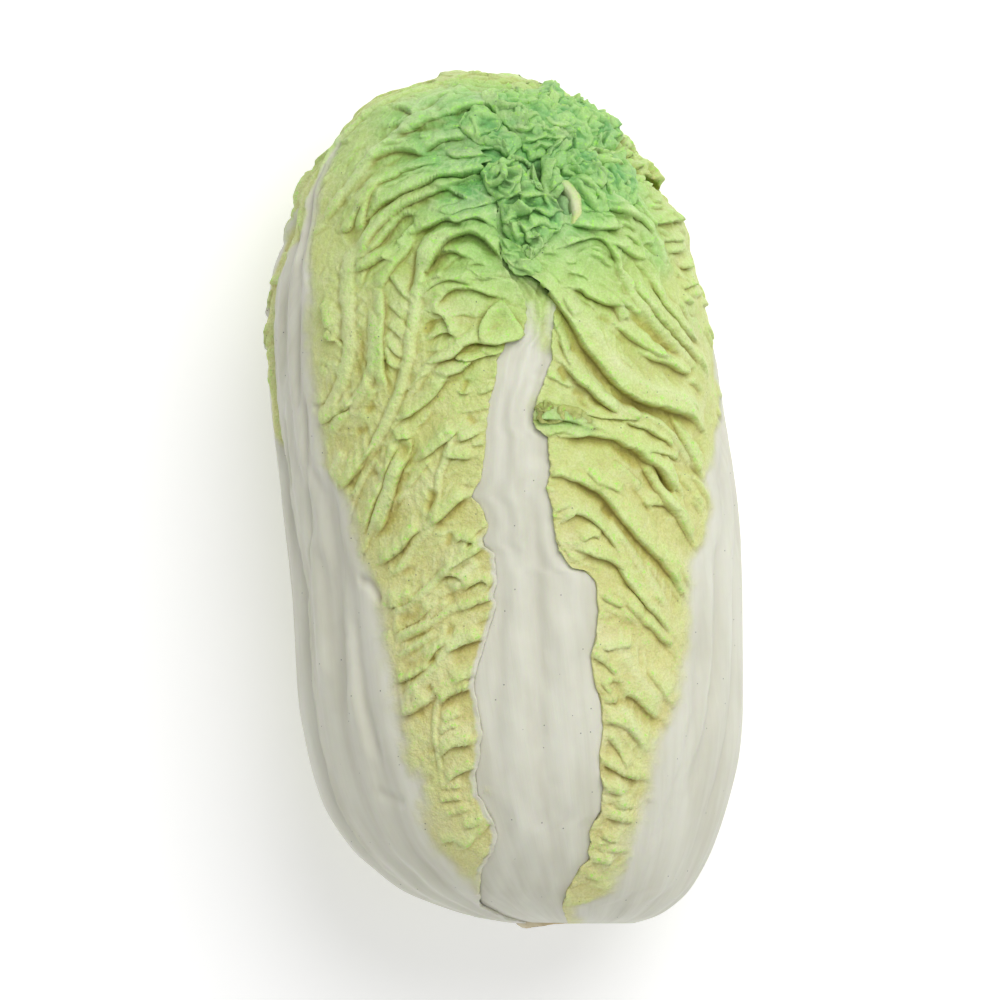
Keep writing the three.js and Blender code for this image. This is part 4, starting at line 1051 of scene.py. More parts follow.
    def pucker(self, size, height):
        """The small cushions of the blade between its veins."""
        cells = self.noise.cells(self.relief.found + 3.1, size)
        pillow = 1 - (1 - np.clip(cells * 1.7, 0, 1)) ** 2
        near_crown = smooth((66 - np.linalg.norm(self.relief.points - CROWN_MIDDLE, axis=-1)) / 46)
        crumple = self.noise.crumpled(self.relief.points, 8.0, 3, 0.45)
        swell = 1.1 * self.noise.smooth(self.relief.points, 15.0) + 0.25 * self.noise.smooth(self.relief.found, 6.5)
        rough = height * (pillow - 0.5) + (0.10 + 0.2 * near_crown) * crumple + swell
        self.relief.height += self.blade.ravel() * rough
        veins = np.maximum(0.5 * (1 - smooth(cells / 0.10)), self.relief.vein)
        self.veins = veins.reshape(self.blade.shape) * self.blade

    def lift_rim(self, from_edge, height, width, wave):
        """A free margin that stands up and waves."""
        near = 1 - smooth(from_edge / width)
        ripple = self.noise.smooth(self.points + 11.0, wave) + 0.5 * self.noise.smooth(self.points - 7.0, wave / 2.3)
        self.add(near * height * (0.6 + 1.0 * ripple))

    def relieved(self, scale):
        """The height of the relief over the whole leaf, without its broad swell."""
        height = scale * self.relief.height.reshape(self.reach.shape) * smooth((self.reach - LEAF_START) / 0.05)
        spacing = np.median(np.linalg.norm(np.diff(self.points, axis=0), axis=-1))
        swell = blurred(height, max(2, int(SWELL_WIDTH / spacing / 2)))
        height = height - SWELL_CUT * swell * self.blade
        limit = np.where(height > 0, RELIEF_LIMIT, PIT_LIMIT)
        return limit * np.tanh(height / limit)

    def masks(self, height):
        """What the material reads: where the leaf is green, with painted highlight on its ridges and painted shade
        in its creases and hollows.
        """
        ridge, crease, hollow = (
            mask.reshape(height.shape) for mask in (self.relief.ridge, self.relief.crease, self.relief.hollow))
        fine, broad = height - blurred(height, 2), height - blurred(height, 7)
        return {
            "blade": self.blade,
            "tint": self.tint,
            "ridge": np.tanh(ridge * 0.5 + np.maximum(0, fine) / 1.2 + np.maximum(0, broad) / 3.5),
            "crease": np.tanh(crease * 0.75 + np.maximum(0, -fine) / 1.2 + np.maximum(0, -broad) / 5.0),
            "crown": np.linalg.norm(self.points - CROWN_MIDDLE, axis=-1) / CROWN_SPAN,
            "veins": self.veins,
            "hollow": np.clip(0.75 * hollow + 0.5 * smooth(-broad / 1.6), 0, 1),
        }

    def mesh(self, name, rib_thickness, margin_thickness, taper, scale=1.0):
        """The closed leaf as a new object: a fine outside, a coarser inside and the rim between."""
        height = self.relieved(scale)
        shift = self.relief.limited_shift().reshape(*height.shape, 3)
        outer = self.points + self.normals * (self.base + height)[..., None] + shift
        outer[..., 2] = np.maximum(outer[..., 2], LOWEST)
        step = COARSE
        near_rim = 1 - smooth(self.rim[::step, ::step] / taper)
        thickness = margin_thickness + (rib_thickness - margin_thickness) * (1 - near_rim)
        follow = near_rim * blurred(height, 2)[::step, ::step]
        depth = self.base[::step, ::step] + follow - thickness
        inner = self.points[::step, ::step] + self.normals[::step, ::step] * depth[..., None]
        values = self.masks(height)
        across = arc_length(self.angle, 0.45 + 0 * self.reach)
        flow = np.stack([across, self.reach * LENGTH_TO_TIP, 0 * self.reach], -1) * MM
        sheets = []
        for label, places, part in (("outside", outer, 1), ("inside", inner, step)):
            sheet = added_grid(f"{name}_{label}", places.shape[1] - 1, places.shape[0] - 1)
            shape(sheet, places)
            mark(sheet, flow[::part, ::part], **{key: value[::part, ::part] for key, value in values.items()})
            sheets.append(sheet)
        outside, inside = sheets
        inside.data.flip_normals()
        join(outside, [inside])
        close_rim(outside.data, self.columns, self.rows, step)
        outside.name = outside.data.name = name
        bpy.ops.object.shade_smooth()
        outside.data.update()
        return outside


def close_rim(mesh, columns, rows, step):
    """Faces between the margins of the fine outside and the coarser inside."""
    places = [(c, 0) for c in range(columns)] + [(columns, r) for r in range(rows)]
    places += [(c, rows) for c in range(columns, 0, -1)] + [(0, r) for r in range(rows, 0, -1)]
    first = (columns + 1) * (rows + 1)

    def outer(place):
        return place[1] * (columns + 1) + place[0]

    def inner(place):
        return first + place[1] // step * (columns // step + 1) + place[0] // step

    model = bmesh.new()
    model.from_mesh(mesh)
    model.verts.ensure_lookup_table()
    verts = model.verts
    for i in range(0, len(places), step):
        here, there = places[i], places[(i + step) % len(places)]
        edge = [places[(i + k) % len(places)] for k in range(step + 1)]
        half = step // 2
        a, b = verts[inner(here)], verts[inner(there)]
        for k in range(half):
            model.faces.new((a, verts[outer(edge[k + 1])], verts[outer(edge[k])]))
        model.faces.new((a, b, verts[outer(edge[half])]))
        for k in range(half, step):
            model.faces.new((b, verts[outer(edge[k + 1])], verts[outer(edge[k])]))
    model.to_mesh(mesh)
    model.free()


CROWN_MIDDLE = surface_point(np.array(0.0), np.array(1.0))


def cover_depth(beyond, free, gap):
    """How deep a leaf lies: free where it shows beyond the margin of the leaf on it, deeper below that one."""
    under = gap + (OVERLAP_DEPTH - gap) * smooth(-beyond / OVERLAP_RAMP)
    open_air = free + (gap - free) * (1 - smooth(beyond / OVERLAP_RAMP))
    return np.where(beyond < 0, under, open_air)


def flutes(angle, first, last, count, height):
    """Broad ridges along a rib, which fade where it narrows."""
    span = last - first
    share = np.clip((angle - first) / np.maximum(span, 1), 0, 1)
    fade = smooth((span - 4) / 14) * np.sqrt(np.sin(math.pi * share))
    return -0.5 * height * fade * np.cos(2 * math.pi * count * share)


def side_veins(leaf, from_midrib, rib_half, pitch, height):
    """Veins that leave the midrib and climb outwards, with the blade puffed between them."""
    away = np.maximum(0, np.abs(from_midrib) - rib_half)
    wobble = 3.0 * leaf.noise.smooth(leaf.points, 28.0)
    climb = 0.75 * np.abs(from_midrib)
    along = leaf.reach * LENGTH_TO_TIP - climb + wobble + 5.0 * np.sign(from_midrib)
    wave = np.abs(np.sin(math.pi * along / pitch))
    vein = bell(wave, 0.24)
    leaf.add(smooth(away / 10) * leaf.blade * (height * (wave - 0.5) + 0.8 * height * vein))
    # Painted highlight along the veins, through the ridge mask.
    leaf.relief.raise_to("ridge", slice(None), (0.7 * vein * leaf.blade * smooth(away / 6)).ravel())


def ribbed(leaf, amount=0.05):
    """Fine long grooves of a white rib."""
    flat = 0 * leaf.angle
    wave = leaf.noise.smooth(np.stack([leaf.angle * 1.4, leaf.reach * 60, flat], -1), 3.0)
    slow = leaf.noise.smooth(np.stack([leaf.angle, leaf.reach * 50, flat + 9], -1), 9.0)
    leaf.add((1 - leaf.blade) * (amount * wave + 0.3 * slow))


def ragged(leaf, broad, broad_size, fine):
    """Noise that makes the border between rib and blade uneven."""
    return broad * leaf.noise.smooth(leaf.points, broad_size) + fine * leaf.noise.smooth(leaf.points, 3.5)


def soft_mask(distance, noise_value, width):
    return smooth(0.5 + (distance + noise_value) / width)


# ---- The leaves ----
BLADE_CELLS = 5.4  # size of the cushions of the front leaves
RIB_TAPER = 22  # over which a leaf thickens from its margin to its rib
VEIN_PITCH = 5.2
SIDE_RIB = 4.2  # thickness of the ribs between the outer leaves
NEAR_CROWN = 54


def finished_leaf(leaf, name, sizes, rib_thickness=None, taper=RIB_TAPER):
    thickness = rib_thickness or sizes.rib_thickness / MM
    return leaf.mesh(name, thickness, sizes.margin_thickness / MM, taper, sizes.fold_scale)


def draw_front_leaf(leaf, drawing, veins, lean, crinkles, inner, pleated):
    """The drawn lines of a front leaf and the random small folds that follow them."""
    folds, ridges, tubes, dips, rib_lines, tints, raised = drawing
    raised = np.array([*raised, 0.0])
    relief = leaf.relief
    for height, rise, line in folds:
        relief.fold(height, rise, drawn(line), raised)
    for height, width, line in ridges:
        relief.line(VEIN_HEIGHT * height, width, drawn(line), 0.8)
    for height, first, last, line in tubes:
        relief.tube(height, first, last, drawn(line))
    for depth, width, line in dips:
        relief.dip(depth, width, drawn(line))
    for height, width, line in rib_lines:
        relief.line(RIB_LINE_HEIGHT * height, width, drawn(line))
    leaf.pinnate([row[-1] for row in ridges + tubes], VEIN_PITCH, (4, 11), 0.4, seed=9)
    (long_count, long_height), short_count, crown_count = crinkles
    leaf.crinkles(long_count, folds, raised, veins, size=(5, 18), height=long_height, seed=1)
    leaf.crinkles(short_count, folds, raised, veins + lean, size=(4, 10), height=(0.15, 0.4), seed=2)
    leaf.crinkles(crown_count, folds, raised, veins, size=(4, 13), height=(0.3, 0.8), seed=5, within=NEAR_CROWN)
    leaf.pleats(inner, (8, 20), (5, 12), (0.25, 0.7), pleated, seed=3)
    leaf.pucker(BLADE_CELLS, 0.24)
    edges = (leaf.from_left, leaf.from_right) if inner == "left" else (leaf.from_right, leaf.from_left)
    leaf.lift_rim(edges[0], 0.7, 4.0, 6.0)
    leaf.lift_rim(edges[1], 0.5, 4.0, 9.0)
    leaf.tint = leaf.spots(tints)


def soften(leaf):
    """Folds fade on the rib, and are flatter near the butt."""
    low_down = (0.62 + 0.38 * smooth((leaf.reach - 0.3) / 0.25)).ravel()
    leaf.relief.soft = (0.08 + 0.92 * smooth(leaf.blade / 0.6)).ravel() * low_down


def build_left_leaf(sizes):
    """The big front leaf on the left, wrapped over the crown."""
    leaf = Leaf(208, 436, 11, left_back, left_margin, LEAF_START, lambda u: CROWN_REACH + 0.008 * np.sin(u * 40),
                middle=(0.34, curve_through(LEFT_DENSE)), serration=(0.5, 1.0))
    reach, angle = leaf.reach, leaf.angle
    noise = ragged(leaf, 2.2, 9.0, 1.1)
    inner_side = soft_mask(arc_length(angle - left_rib_end(reach), reach), noise + 1.5, 14.0)
    outer_side = soft_mask(arc_length(left_rib_start(reach) - angle, reach), 0.6 * noise, 4.5)
    top = smooth((reach - 0.735) / 0.02) * smooth((-60 - angle) / 10)
    leaf.blade = np.maximum(np.maximum(inner_side, outer_side), top) * smooth((reach - 0.14) / 0.04)
    pale_lip = np.exp(-((leaf.from_right / 1.9) ** 4))
    pale_lip = pale_lip * smooth((0.52 - reach) / 0.06) * smooth((reach - 0.2) / 0.04)
    leaf.blade *= 1 - 0.75 * pale_lip
    soften(leaf)
    leaf.add(flutes(angle, left_back(reach), left_rib_end(reach), 3, 1.4))
    ribbed(leaf)
    veins = np.where(angle < left_rib_start(reach), -40.0, 40.0)
    draw_front_leaf(leaf, LEFT_DRAWING, veins, 25, ((110, (0.15, 0.55)), 40, 30), "right", (0.2, 0.74))
    return finished_leaf(leaf, "leaf_left_piece", sizes)


def build_right_leaf(sizes):
    """The big front leaf on the right, with a torn, ruffled lip on its free margin."""
    leaf = Leaf(200, 436, 23, right_margin, right_back, LEAF_START,
                lambda u: CROWN_REACH + 0.008 * np.sin(u * 33 + 1),
                middle=(0.66, curve_through(RIGHT_DENSE)), serration=(1.0, 0.5))
    reach, angle = leaf.reach, leaf.angle
    noise = ragged(leaf, 2.0, 9.0, 1.0)
    inner_side = soft_mask(arc_length(right_rib_end(reach) - angle, reach), noise + 1.5, 14.0)
    outer_side = soft_mask(arc_length(angle - right_rib_far(reach), reach), noise, 6.0)
    leaf.blade = np.maximum(inner_side, outer_side)
    soften(leaf)
    leaf.add(flutes(angle, right_rib_end(reach), right_back(reach) - 12, 4, 1.2))
    ribbed(leaf)
    veins = np.where(angle > right_rib_far(reach), 40.0, -40.0)
    draw_front_leaf(leaf, RIGHT_DRAWING, veins, -25, ((130, (0.2, 0.65)), 40, 50), "left", (0.16, 0.7))
    piece = finished_leaf(leaf, "leaf_right_piece", sizes)
    join(piece, [Bunch(70 + i, *row, shade=0.75, crown=1.0).make(f"fringe_{i}") for i, row in enumerate(FRINGES)])
    bpy.ops.object.shade_smooth()
    return piece


def build_centre_leaf(sizes):
    """The white rib that shows between the two front leaves."""
    leaf = Leaf(136, 300, 31, lambda s: -45 + 0 * s, lambda s: 52 + 0 * s, LEAF_START - 0.01,
                lambda u: 0.87 - 0.1 * (2 * u - 1) ** 2)
    reach, angle = leaf.reach, leaf.angle
    first, last = left_margin(reach), right_margin(reach)
    beyond = np.minimum(arc_length(angle - first, reach), arc_length(last - angle, reach))
    low, shown = 1 - smooth((reach - 0.115) / 0.05), smooth(beyond / 5 + 1)
    leaf.base = -cover_depth(beyond, 0.9, 1.3) * (1 - low) - 0.7 * low * shown - OVERLAP_DEPTH * low * (1 - shown)
    leaf.add(flutes(angle, first, last, 3, 0.8))
    top = 0.45 * smooth((reach - 0.735) / 0.03) + 0.55 * smooth((reach - 0.785) / 0.02)
    leaf.blade = np.maximum(np.clip(leaf.spots(CENTRE_TINTS), 0, 1), top)
    hollow = smooth((reach - 0.785) / 0.035)
    leaf.add(-2.6 * hollow)
    # Painted shade in the hollow of the throat, through the crease mask.
    leaf.relief.raise_to("crease", slice(None), 0.9 * hollow.ravel())
    ribbed(leaf)
    for height, width, line in CENTRE_RIB_LINES:
        leaf.relief.line(RIB_LINE_HEIGHT * height, width, drawn(line))
    leaf.crinkles(30, [], np.array(UP), 0 * reach + 20.0, size=(4, 12), height=(0.1, 0.4), seed=1)
    leaf.pucker(4.2, 0.2)
    leaf.relief.height *= (1 - 0.9 * low).ravel()
    return finished_leaf(leaf, "leaf_centre_piece", sizes, SIDE_RIB, 18)


def build_back_leaf(sizes):
    """The leaf that the head lies on."""
    def tucked(s):
        return 14 * smooth((s - 0.77) / 0.05) * HALF_WIDTH / np.maximum(ring_radius(s), 20) * 0.7

    leaf = Leaf(150, 330, 41, lambda s: back_right(s) - tucked(s), lambda s: back_left(s) + tucked(s), LEAF_START,
                lambda u: CROWN_REACH - 0.02 + 0.01 * np.sin(u * 37), serration=(0.8, 0.8))
    reach, angle = leaf.reach, leaf.angle
    from_right, from_left = angle - right_back(reach), left_back(reach) + 360 - angle
    beyond = np.minimum(arc_length(from_right, reach), arc_length(from_left, reach))
    leaf.base = -cover_depth(beyond - 2, 0.0, 1.6) * smooth((reach - 0.77) / 0.04)
    midrib = (back_left(reach) + back_right(reach)) / 2
    away = arc_length(angle - midrib, reach)
    rib_half = curve_through(BACK_RIB_HALF)(reach)
    leaf.blade = soft_mask(np.abs(away) - rib_half, ragged(leaf, 2.4, 10.0, 1.0), 7.0)
    leaf.add(flutes(angle, midrib - 22, midrib + 22, 4, 0.8))
    ribbed(leaf)
    side_veins(leaf, away, rib_half, 25, 1.3)
    side = np.where(away > 0, -1.0, 1.0)
    leaf.crinkles(420, [], np.array(UP), 42 * side, size=(8, 24), height=(0.5, 1.5), seed=1)
    leaf.crinkles(160, [], np.array(UP), 15 * side, size=(5, 12), height=(0.3, 0.9), seed=2)
    for seed, edge in ((3, "left"), (4, "right")):
        leaf.pleats(edge, (6, 13), (8, 18), (0.8, 1.6), (0.42, 0.9), seed)
    leaf.pucker(5.0, 0.45)
    for from_edge in (leaf.from_left, leaf.from_right):
        leaf.lift_rim(from_edge + 40 * smooth((reach - 0.72) / 0.05), -1.0, 7.0, 9.0)
    calm = bell(leaf.from_right, 24) * smooth((reach - 0.6) / 0.1)
    leaf.relief.height *= (1 - 0.75 * calm).ravel()
    return finished_leaf(leaf, "leaf_back_piece", sizes)


def build_side_leaf(sizes, name, leaf, near_side, far_side, midrib, rib_half, flute, folds, crinkles):
    """A ribbed leaf that shows as a strip between a front leaf and the back leaf."""
    reach, angle = leaf.reach, leaf.angle
    near = beyond_margin(near_side(reach) - angle, near_side, reach)
    far = beyond_margin(angle - far_side(reach), far_side, reach)
    beyond = np.minimum(near, far) - SIDE_LEAF_CLEARANCE
    shoulder = smooth((reach - SHOULDER_REACH) / 0.1) * (1 - smooth(beyond / OVERLAP_RAMP))
    leaf.base = -cover_depth(beyond, 0.4, 2.6) - SHOULDER_DEPTH * shoulder
    away = arc_length(angle - midrib, reach)
    rib_half = curve_through(rib_half)(reach)
    leaf.blade = soft_mask(np.abs(away) - rib_half, ragged(leaf, 2.0, 9.0, 0.8), 6.0)
    leaf.add(flutes(angle, *flute))
    ribbed(leaf, 0.12)
    side_veins(leaf, away, rib_half, 22, 0.8)
    for height, rise, line in folds:
        leaf.relief.fold(height, rise, drawn(line), UP)
    count, longest = crinkles
    leaf.crinkles(count, [], np.array(UP), np.where(away > 0, 40.0, -40.0), (6, longest), (0.4, 1.1), seed=1)
    leaf.pucker(4.6, 0.4)
    return finished_leaf(leaf, name, sizes, SIDE_RIB, 18)


def side_leaf_tip(u):
    return SIDE_LEAF_TIP - 0.1 * (2 * u - 1) ** 2


def build_back_left_leaf(sizes):
    """The ribbed leaf along the left silhouette."""
    leaf = Leaf(140, 330, 53, lambda s: -155 + 0 * s, lambda s: -52 + 0 * s, LEAF_START - 0.015, side_leaf_tip)
    flute = (back_left(leaf.reach) - 360, left_back(leaf.reach), 3, 1.1)
    return build_side_leaf(sizes, "leaf_back_left_piece", leaf, left_back, lambda s: back_left(s) - 360, -108,
                           BACK_LEFT_RIB_HALF, flute, BACK_LEFT_FOLDS, (160, 20))


def build_back_right_leaf(sizes):
    """The ribbed leaf between the right and the back leaf."""
    leaf = Leaf(90, 310, 61, lambda s: 92 + 0 * s, lambda s: 155 + 0 * s, LEAF_START - 0.015, side_leaf_tip)
    flute = (right_back(leaf.reach), back_right(leaf.reach), 2, 0.8)
    return build_side_leaf(sizes, "leaf_back_right_piece", leaf, back_right, right_back, 124,
                           BACK_RIGHT_RIB_HALF, flute, [], (110, 18))


# ---- The crown: a low dome of heart leaves with ruffled tips round its middle ----
# Bunches of crumpled leaf: height, crumple, extra green, left edge line, right edge line
BUNCHES = [
    (2.2, 0.5, 0.05, [(512, 122), (514, 136), (520, 150), (530, 164)], [(560, 120), (576, 132), (572, 148),
        (556, 160)]),
    (4.6, 1.3, 0.25, [(502, 168), (487, 171), (480, 181), (484, 193), (495, 203), (501, 216), (501, 231),
        (508, 244), (519, 255), (528, 266)], [(524, 166), (531, 172), (537, 184), (543, 198), (554, 208),
        (562, 219), (564, 229), (553, 238), (542, 248), (534, 262)]),
    (3.2, 0.5, 0.45, [(500, 138), (492, 145), (495, 154), (506, 161)], [(512, 139), (520, 144), (520, 153),
        (511, 161)]),
    (4.6, 1.2, 0.45, [(554, 144), (545, 157), (540, 170), (538, 184), (541, 197), (549, 202)], [(564, 146),
        (558, 159), (553, 172), (558, 184), (563, 192), (557, 202)]),
    (4.6, 0.4, 0.5, [(556, 161), (550, 166), (552, 174)], [(563, 161), (566, 167), (562, 175)]),
    (2.8, 0.8, 0.3, [(562, 169), (574, 165), (588, 168), (598, 174), (604, 184)], [(560, 178), (570, 181),
        (582, 185), (592, 188), (601, 192)]),
    (2.4, 0.7, 0.35, [(574, 178), (588, 184), (600, 196), (608, 213)], [(565, 187), (576, 196), (586, 207),
        (595, 218)]),
    (4.2, 0.7, 0.8, [(541, 93), (535, 100), (536, 107), (541, 113)], [(553, 93), (560, 99), (558, 106),
        (553, 113)]),
    (3.5, 1.0, 0.85, [(592, 116), (584, 129), (584, 142), (592, 154)], [(606, 114), (614, 125), (619, 141),
        (612, 154)]),
    (2.2, 0.8, 0.85, [(550, 98), (546, 110), (552, 124), (568, 138)], [(574, 98), (592, 110), (598, 126),
        (590, 138)]),
    (2.2, 0.6, 0.6, [(520, 100), (524, 108), (534, 112)], [(534, 94), (548, 98), (556, 106)]),
    (2.2, 1.0, 0.1, [(499, 240), (501, 252), (505, 263), (511, 273), (518, 278)], [(512, 246), (522, 254),
        (533, 262), (543, 270), (549, 279)]),
    (1.8, 0.8, 0.55, [(604, 156), (600, 172), (604, 190), (612, 206)], [(622, 158), (632, 174), (636, 194),
        (630, 214)]),
]
# Torn, ruffled edge on the right leaf, in the same order
FRINGES = [
    (1.6, 1.7, 0.7, [(532, 409), (541, 404), (552, 405), (563, 408)], [(534, 421), (544, 425), (554, 424),
        (564, 421)]),
    (1.4, 1.6, 0.7, [(556, 408), (566, 407), (576, 410), (587, 417), (594, 426)], [(555, 417), (565, 421),
        (575, 423), (584, 429), (591, 436)]),
]
HIDDEN_BUNCHES = [(150, 0.905), (176, 0.92), (204, 0.9), (236, 0.915), (122, 0.915)]
# Creases drawn on some of the bunches, by their place in the list
BUNCH_CREASES = {
    0: [
        [(516, 134), (526, 138), (536, 134), (548, 138)], [(520, 146), (532, 148), (544, 143), (556, 146)],
        [(540, 124), (546, 132), (556, 134), (566, 130)], [(526, 128), (532, 124), (540, 126)],
        [(552, 150), (560, 142), (568, 138)], [(530, 156), (540, 154), (552, 156)],
    ],
    1: [
        [(489, 182), (495, 177), (502, 179), (505, 187), (500, 194), (492, 193)],
        [(494, 186), (499, 183), (501, 188), (497, 190)], [(512, 172), (516, 184), (515, 196), (519, 208)],
        [(505, 208), (512, 201), (520, 204), (519, 214), (510, 218)],
        [(520, 210), (530, 204), (538, 207), (545, 215)], [(522, 224), (531, 218), (541, 222), (550, 218)],
        [(503, 220), (510, 229), (513, 240), (520, 247)], [(528, 234), (537, 228), (549, 232)],
        [(515, 230), (523, 238), (529, 250)], [(528, 176), (532, 190), (538, 202), (547, 209)],
        [(498, 204), (506, 200), (512, 194)], [(532, 240), (538, 246), (536, 254)],
    ],
    3: [
        [(556, 148), (549, 158), (545, 168)], [(550, 172), (545, 180), (546, 190)],
        [(556, 184), (552, 192), (546, 196)],
    ],
    5: [[(566, 174), (578, 171), (590, 175), (600, 182)]],
    6: [[(574, 184), (586, 192), (596, 206)], [(570, 188), (582, 198), (592, 212)]],
}
INNER_RIB = (
    [(557, 187), (564, 195), (569, 206), (571, 217), (569, 229)],
    [(561, 183), (570, 188), (578, 199), (581, 213), (576, 231)],
)
FRILL_THICKNESS = 0.8


class Bunch:
    """A crumpled mass of leaf ends between two edge lines, its edges hanging over."""

    def __init__(self, index, height, crumple, tint, left, right, blade=(1.0, 1.0), overhang=0.9, shade=0.0,
                 crown=0.62):
        most, step = (((72, 96), 0.39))
        left, right = (self.resampled(rounded(self.laid(line)), most[1]) for line in (left, right))
        width, length = np.linalg.norm(right - left, axis=-1).max(), run_along(left)[-1]
        self.size = (int(np.clip(width / step, 10, most[0])), int(np.clip(length / step, 10, most[1])))
        left, right = (self.resampled(line, self.size[1]) for line in (left, right))
        u = np.linspace(0, 1, self.size[0] + 1)[None, :, None]
        v = np.linspace(0, 1, self.size[1] + 1)[:, None]
        noise = Noise(700 + index)
        flat = left[:, None] + (right - left)[:, None] * u
        wide = np.abs(2 * u[..., 0] - 1) * np.ones_like(v)
        long = np.abs(2 * v - 1) * np.ones_like(wide)
        edge = np.maximum(wide, long)
        ragged = 0.5 * noise.smooth(flat, 3.4) + 0.35 * noise.smooth(flat, 1.5)
        middle = flat.mean((0, 1))
        flat = flat + unit(flat - middle) * (edge**2 * ragged * 1.6)[..., None]
        place = onto_surface(flat)
        out = surface_normal(place)
        dome = np.sqrt(np.clip(1 - wide**3.2, 0, 1)) * np.sqrt(np.clip(1 - long**4, 0, 1))
        relief = Relief(place, out, 750 + index)
        for line in BUNCH_CREASES.get(index, ()):
            relief.fold(1.3, 2.6, drawn(line), np.array([-0.4, 1.0, 0.0]), steep=0.7)
        self.wrinkle(relief, place, crumple, 800 + index)
        rough = crumple * noise.crumpled(place, 9.0, 4, 0.42) + 0.8 * relief.height.reshape(dome.shape)
        rise = height * dome + rough * np.clip(1.5 * dome, 0, 1) - 2.2 * (1 - np.clip(2 * dome, 0, 1))
        away = unit(place - middle)
        away = unit(away - (away * out).sum(-1, keepdims=True) * out)
        lean = overhang * (np.clip(1 - np.abs(dome - 0.6) / 0.5, 0, 1) - 0.9 * (1 - smooth(dome / 0.35)))
        warp = (0.9 * crumple * dome)[..., None] * noise.warp(place, 13.0, 5.0)
        self.places = place + out * rise[..., None] + away * lean[..., None] + warp
        self.places += relief.limited_shift().reshape(self.places.shape) * np.clip(2 * dome, 0, 1)[..., None]
        # Painted light and shade of the bunch: ridge is painted highlight on its crests; crease is painted shade in
        # its folds and under its hanging edges, plus the shade argument, which takes painted shade off below zero;
        # hollow follows crease.
        fine, broad = rise - blurred(rise, 2), rise - blurred(rise, 6)
        crease, ridge = (mask.reshape(dome.shape) for mask in (relief.crease, relief.ridge))
        crease = 0.7 * crease + np.maximum(0, -fine) / 0.6 + np.maximum(0, -broad) / 2.2
        crease = np.clip(np.tanh(crease + 1.2 * (1 - smooth(dome / 0.5))) + shade, 0, 1)
        patches = 0.8 * tint * np.clip(noise.smooth(place, 6.0) + 0.5, 0, 1.4)
        # With blade below one, as on the inner rib, the bunch turns greener towards its right side and its lower
        # end, as painted shade.
        green = blade[0] + (blade[1] - blade[0]) * u[..., 0] + (1 - blade[0]) * smooth((v - 0.65) / 0.35)
        self.values = {
            "blade": np.clip(green, 0, 1),
            "tint": patches + 0.4 * (1 - smooth(dome / 0.6)) - 0.06,
            "ridge": np.tanh(0.5 * ridge + np.maximum(0, fine) / 0.5 + np.maximum(0, broad) / 2.5),
            "crease": crease,
            "crown": crown * np.linalg.norm(place - CROWN_MIDDLE, axis=-1) / CROWN_SPAN,
            "veins": np.zeros(dome.shape),
            "hollow": np.clip(0.4 * crease, 0, 1),
        }

    @staticmethod
    def wrinkle(relief, place, amount, seed):
        """Short random folds over the bunch."""
        random = np.random.default_rng(seed)
        rows, columns = place.shape[:2]
        steps = np.linalg.norm(place[1, 0] - place[0, 0]), np.linalg.norm(place[0, 1] - place[0, 0])
        area = rows * columns * steps[0] * steps[1]
        for _ in range(int(area / 9)):
            row, column = random.uniform(0, rows - 1), random.uniform(0, columns - 1)
            heading, path = random.uniform(0, 2 * math.pi), []
            for _ in range(int(random.uniform(3, 8))):
                if not (0 <= row < rows - 1 and 0 <= column < columns - 1):
                    break
                path.append(place[int(row), int(column)])
                row += 1.3 * math.sin(heading) / steps[0]
                column += 1.3 * math.cos(heading) / steps[1]
                heading += random.normal(0, 0.35)
            if len(path) > 2:
                side = random.normal(size=3)
                height, rise = amount * random.uniform(0.3, 0.9), random.uniform(1.2, 2.6)
                relief.fold(height, rise, np.array(path), side, random.uniform(0.4, 0.7))

    @staticmethod
    def laid(line):
        """A drawn line, or one that already lies on the head."""
        return drawn(line) if len(line[0]) == 2 else line

    @staticmethod
    def resampled(line, count):
        return points_along(line, np.linspace(0, run_along(line)[-1], count + 1))

    def make(self, name):
        bunch, places = added_grid(name, *self.size), self.places
        normal = np.cross(np.gradient(places, axis=1), np.gradient(places, axis=0)).reshape(-1, 3).sum(0)
        outwards = normal @ surface_normal(onto_surface(places.mean((0, 1)))) > 0
        shape(bunch, places)
        if not outwards:
            bunch.data.flip_normals()
        mark(bunch, **self.values)
        thick = bunch.modifiers.new("Thickness", "SOLIDIFY")
        thick.thickness = FRILL_THICKNESS * MM
        thick.offset = -1
        bpy.ops.object.modifier_apply(modifier=thick.name)
        return bunch


def hidden_bunch(angle, reach):
    """Edge lines of a bunch on the far side of the crown."""
    along = np.linspace(-1, 1, 5)
    left = surface_point(angle - 11 - 5 * (1 - along**2), reach + 0.035 * along)
    right = surface_point(angle + 11 + 5 * (1 - along**2), reach + 0.035 * along)
    return left, right


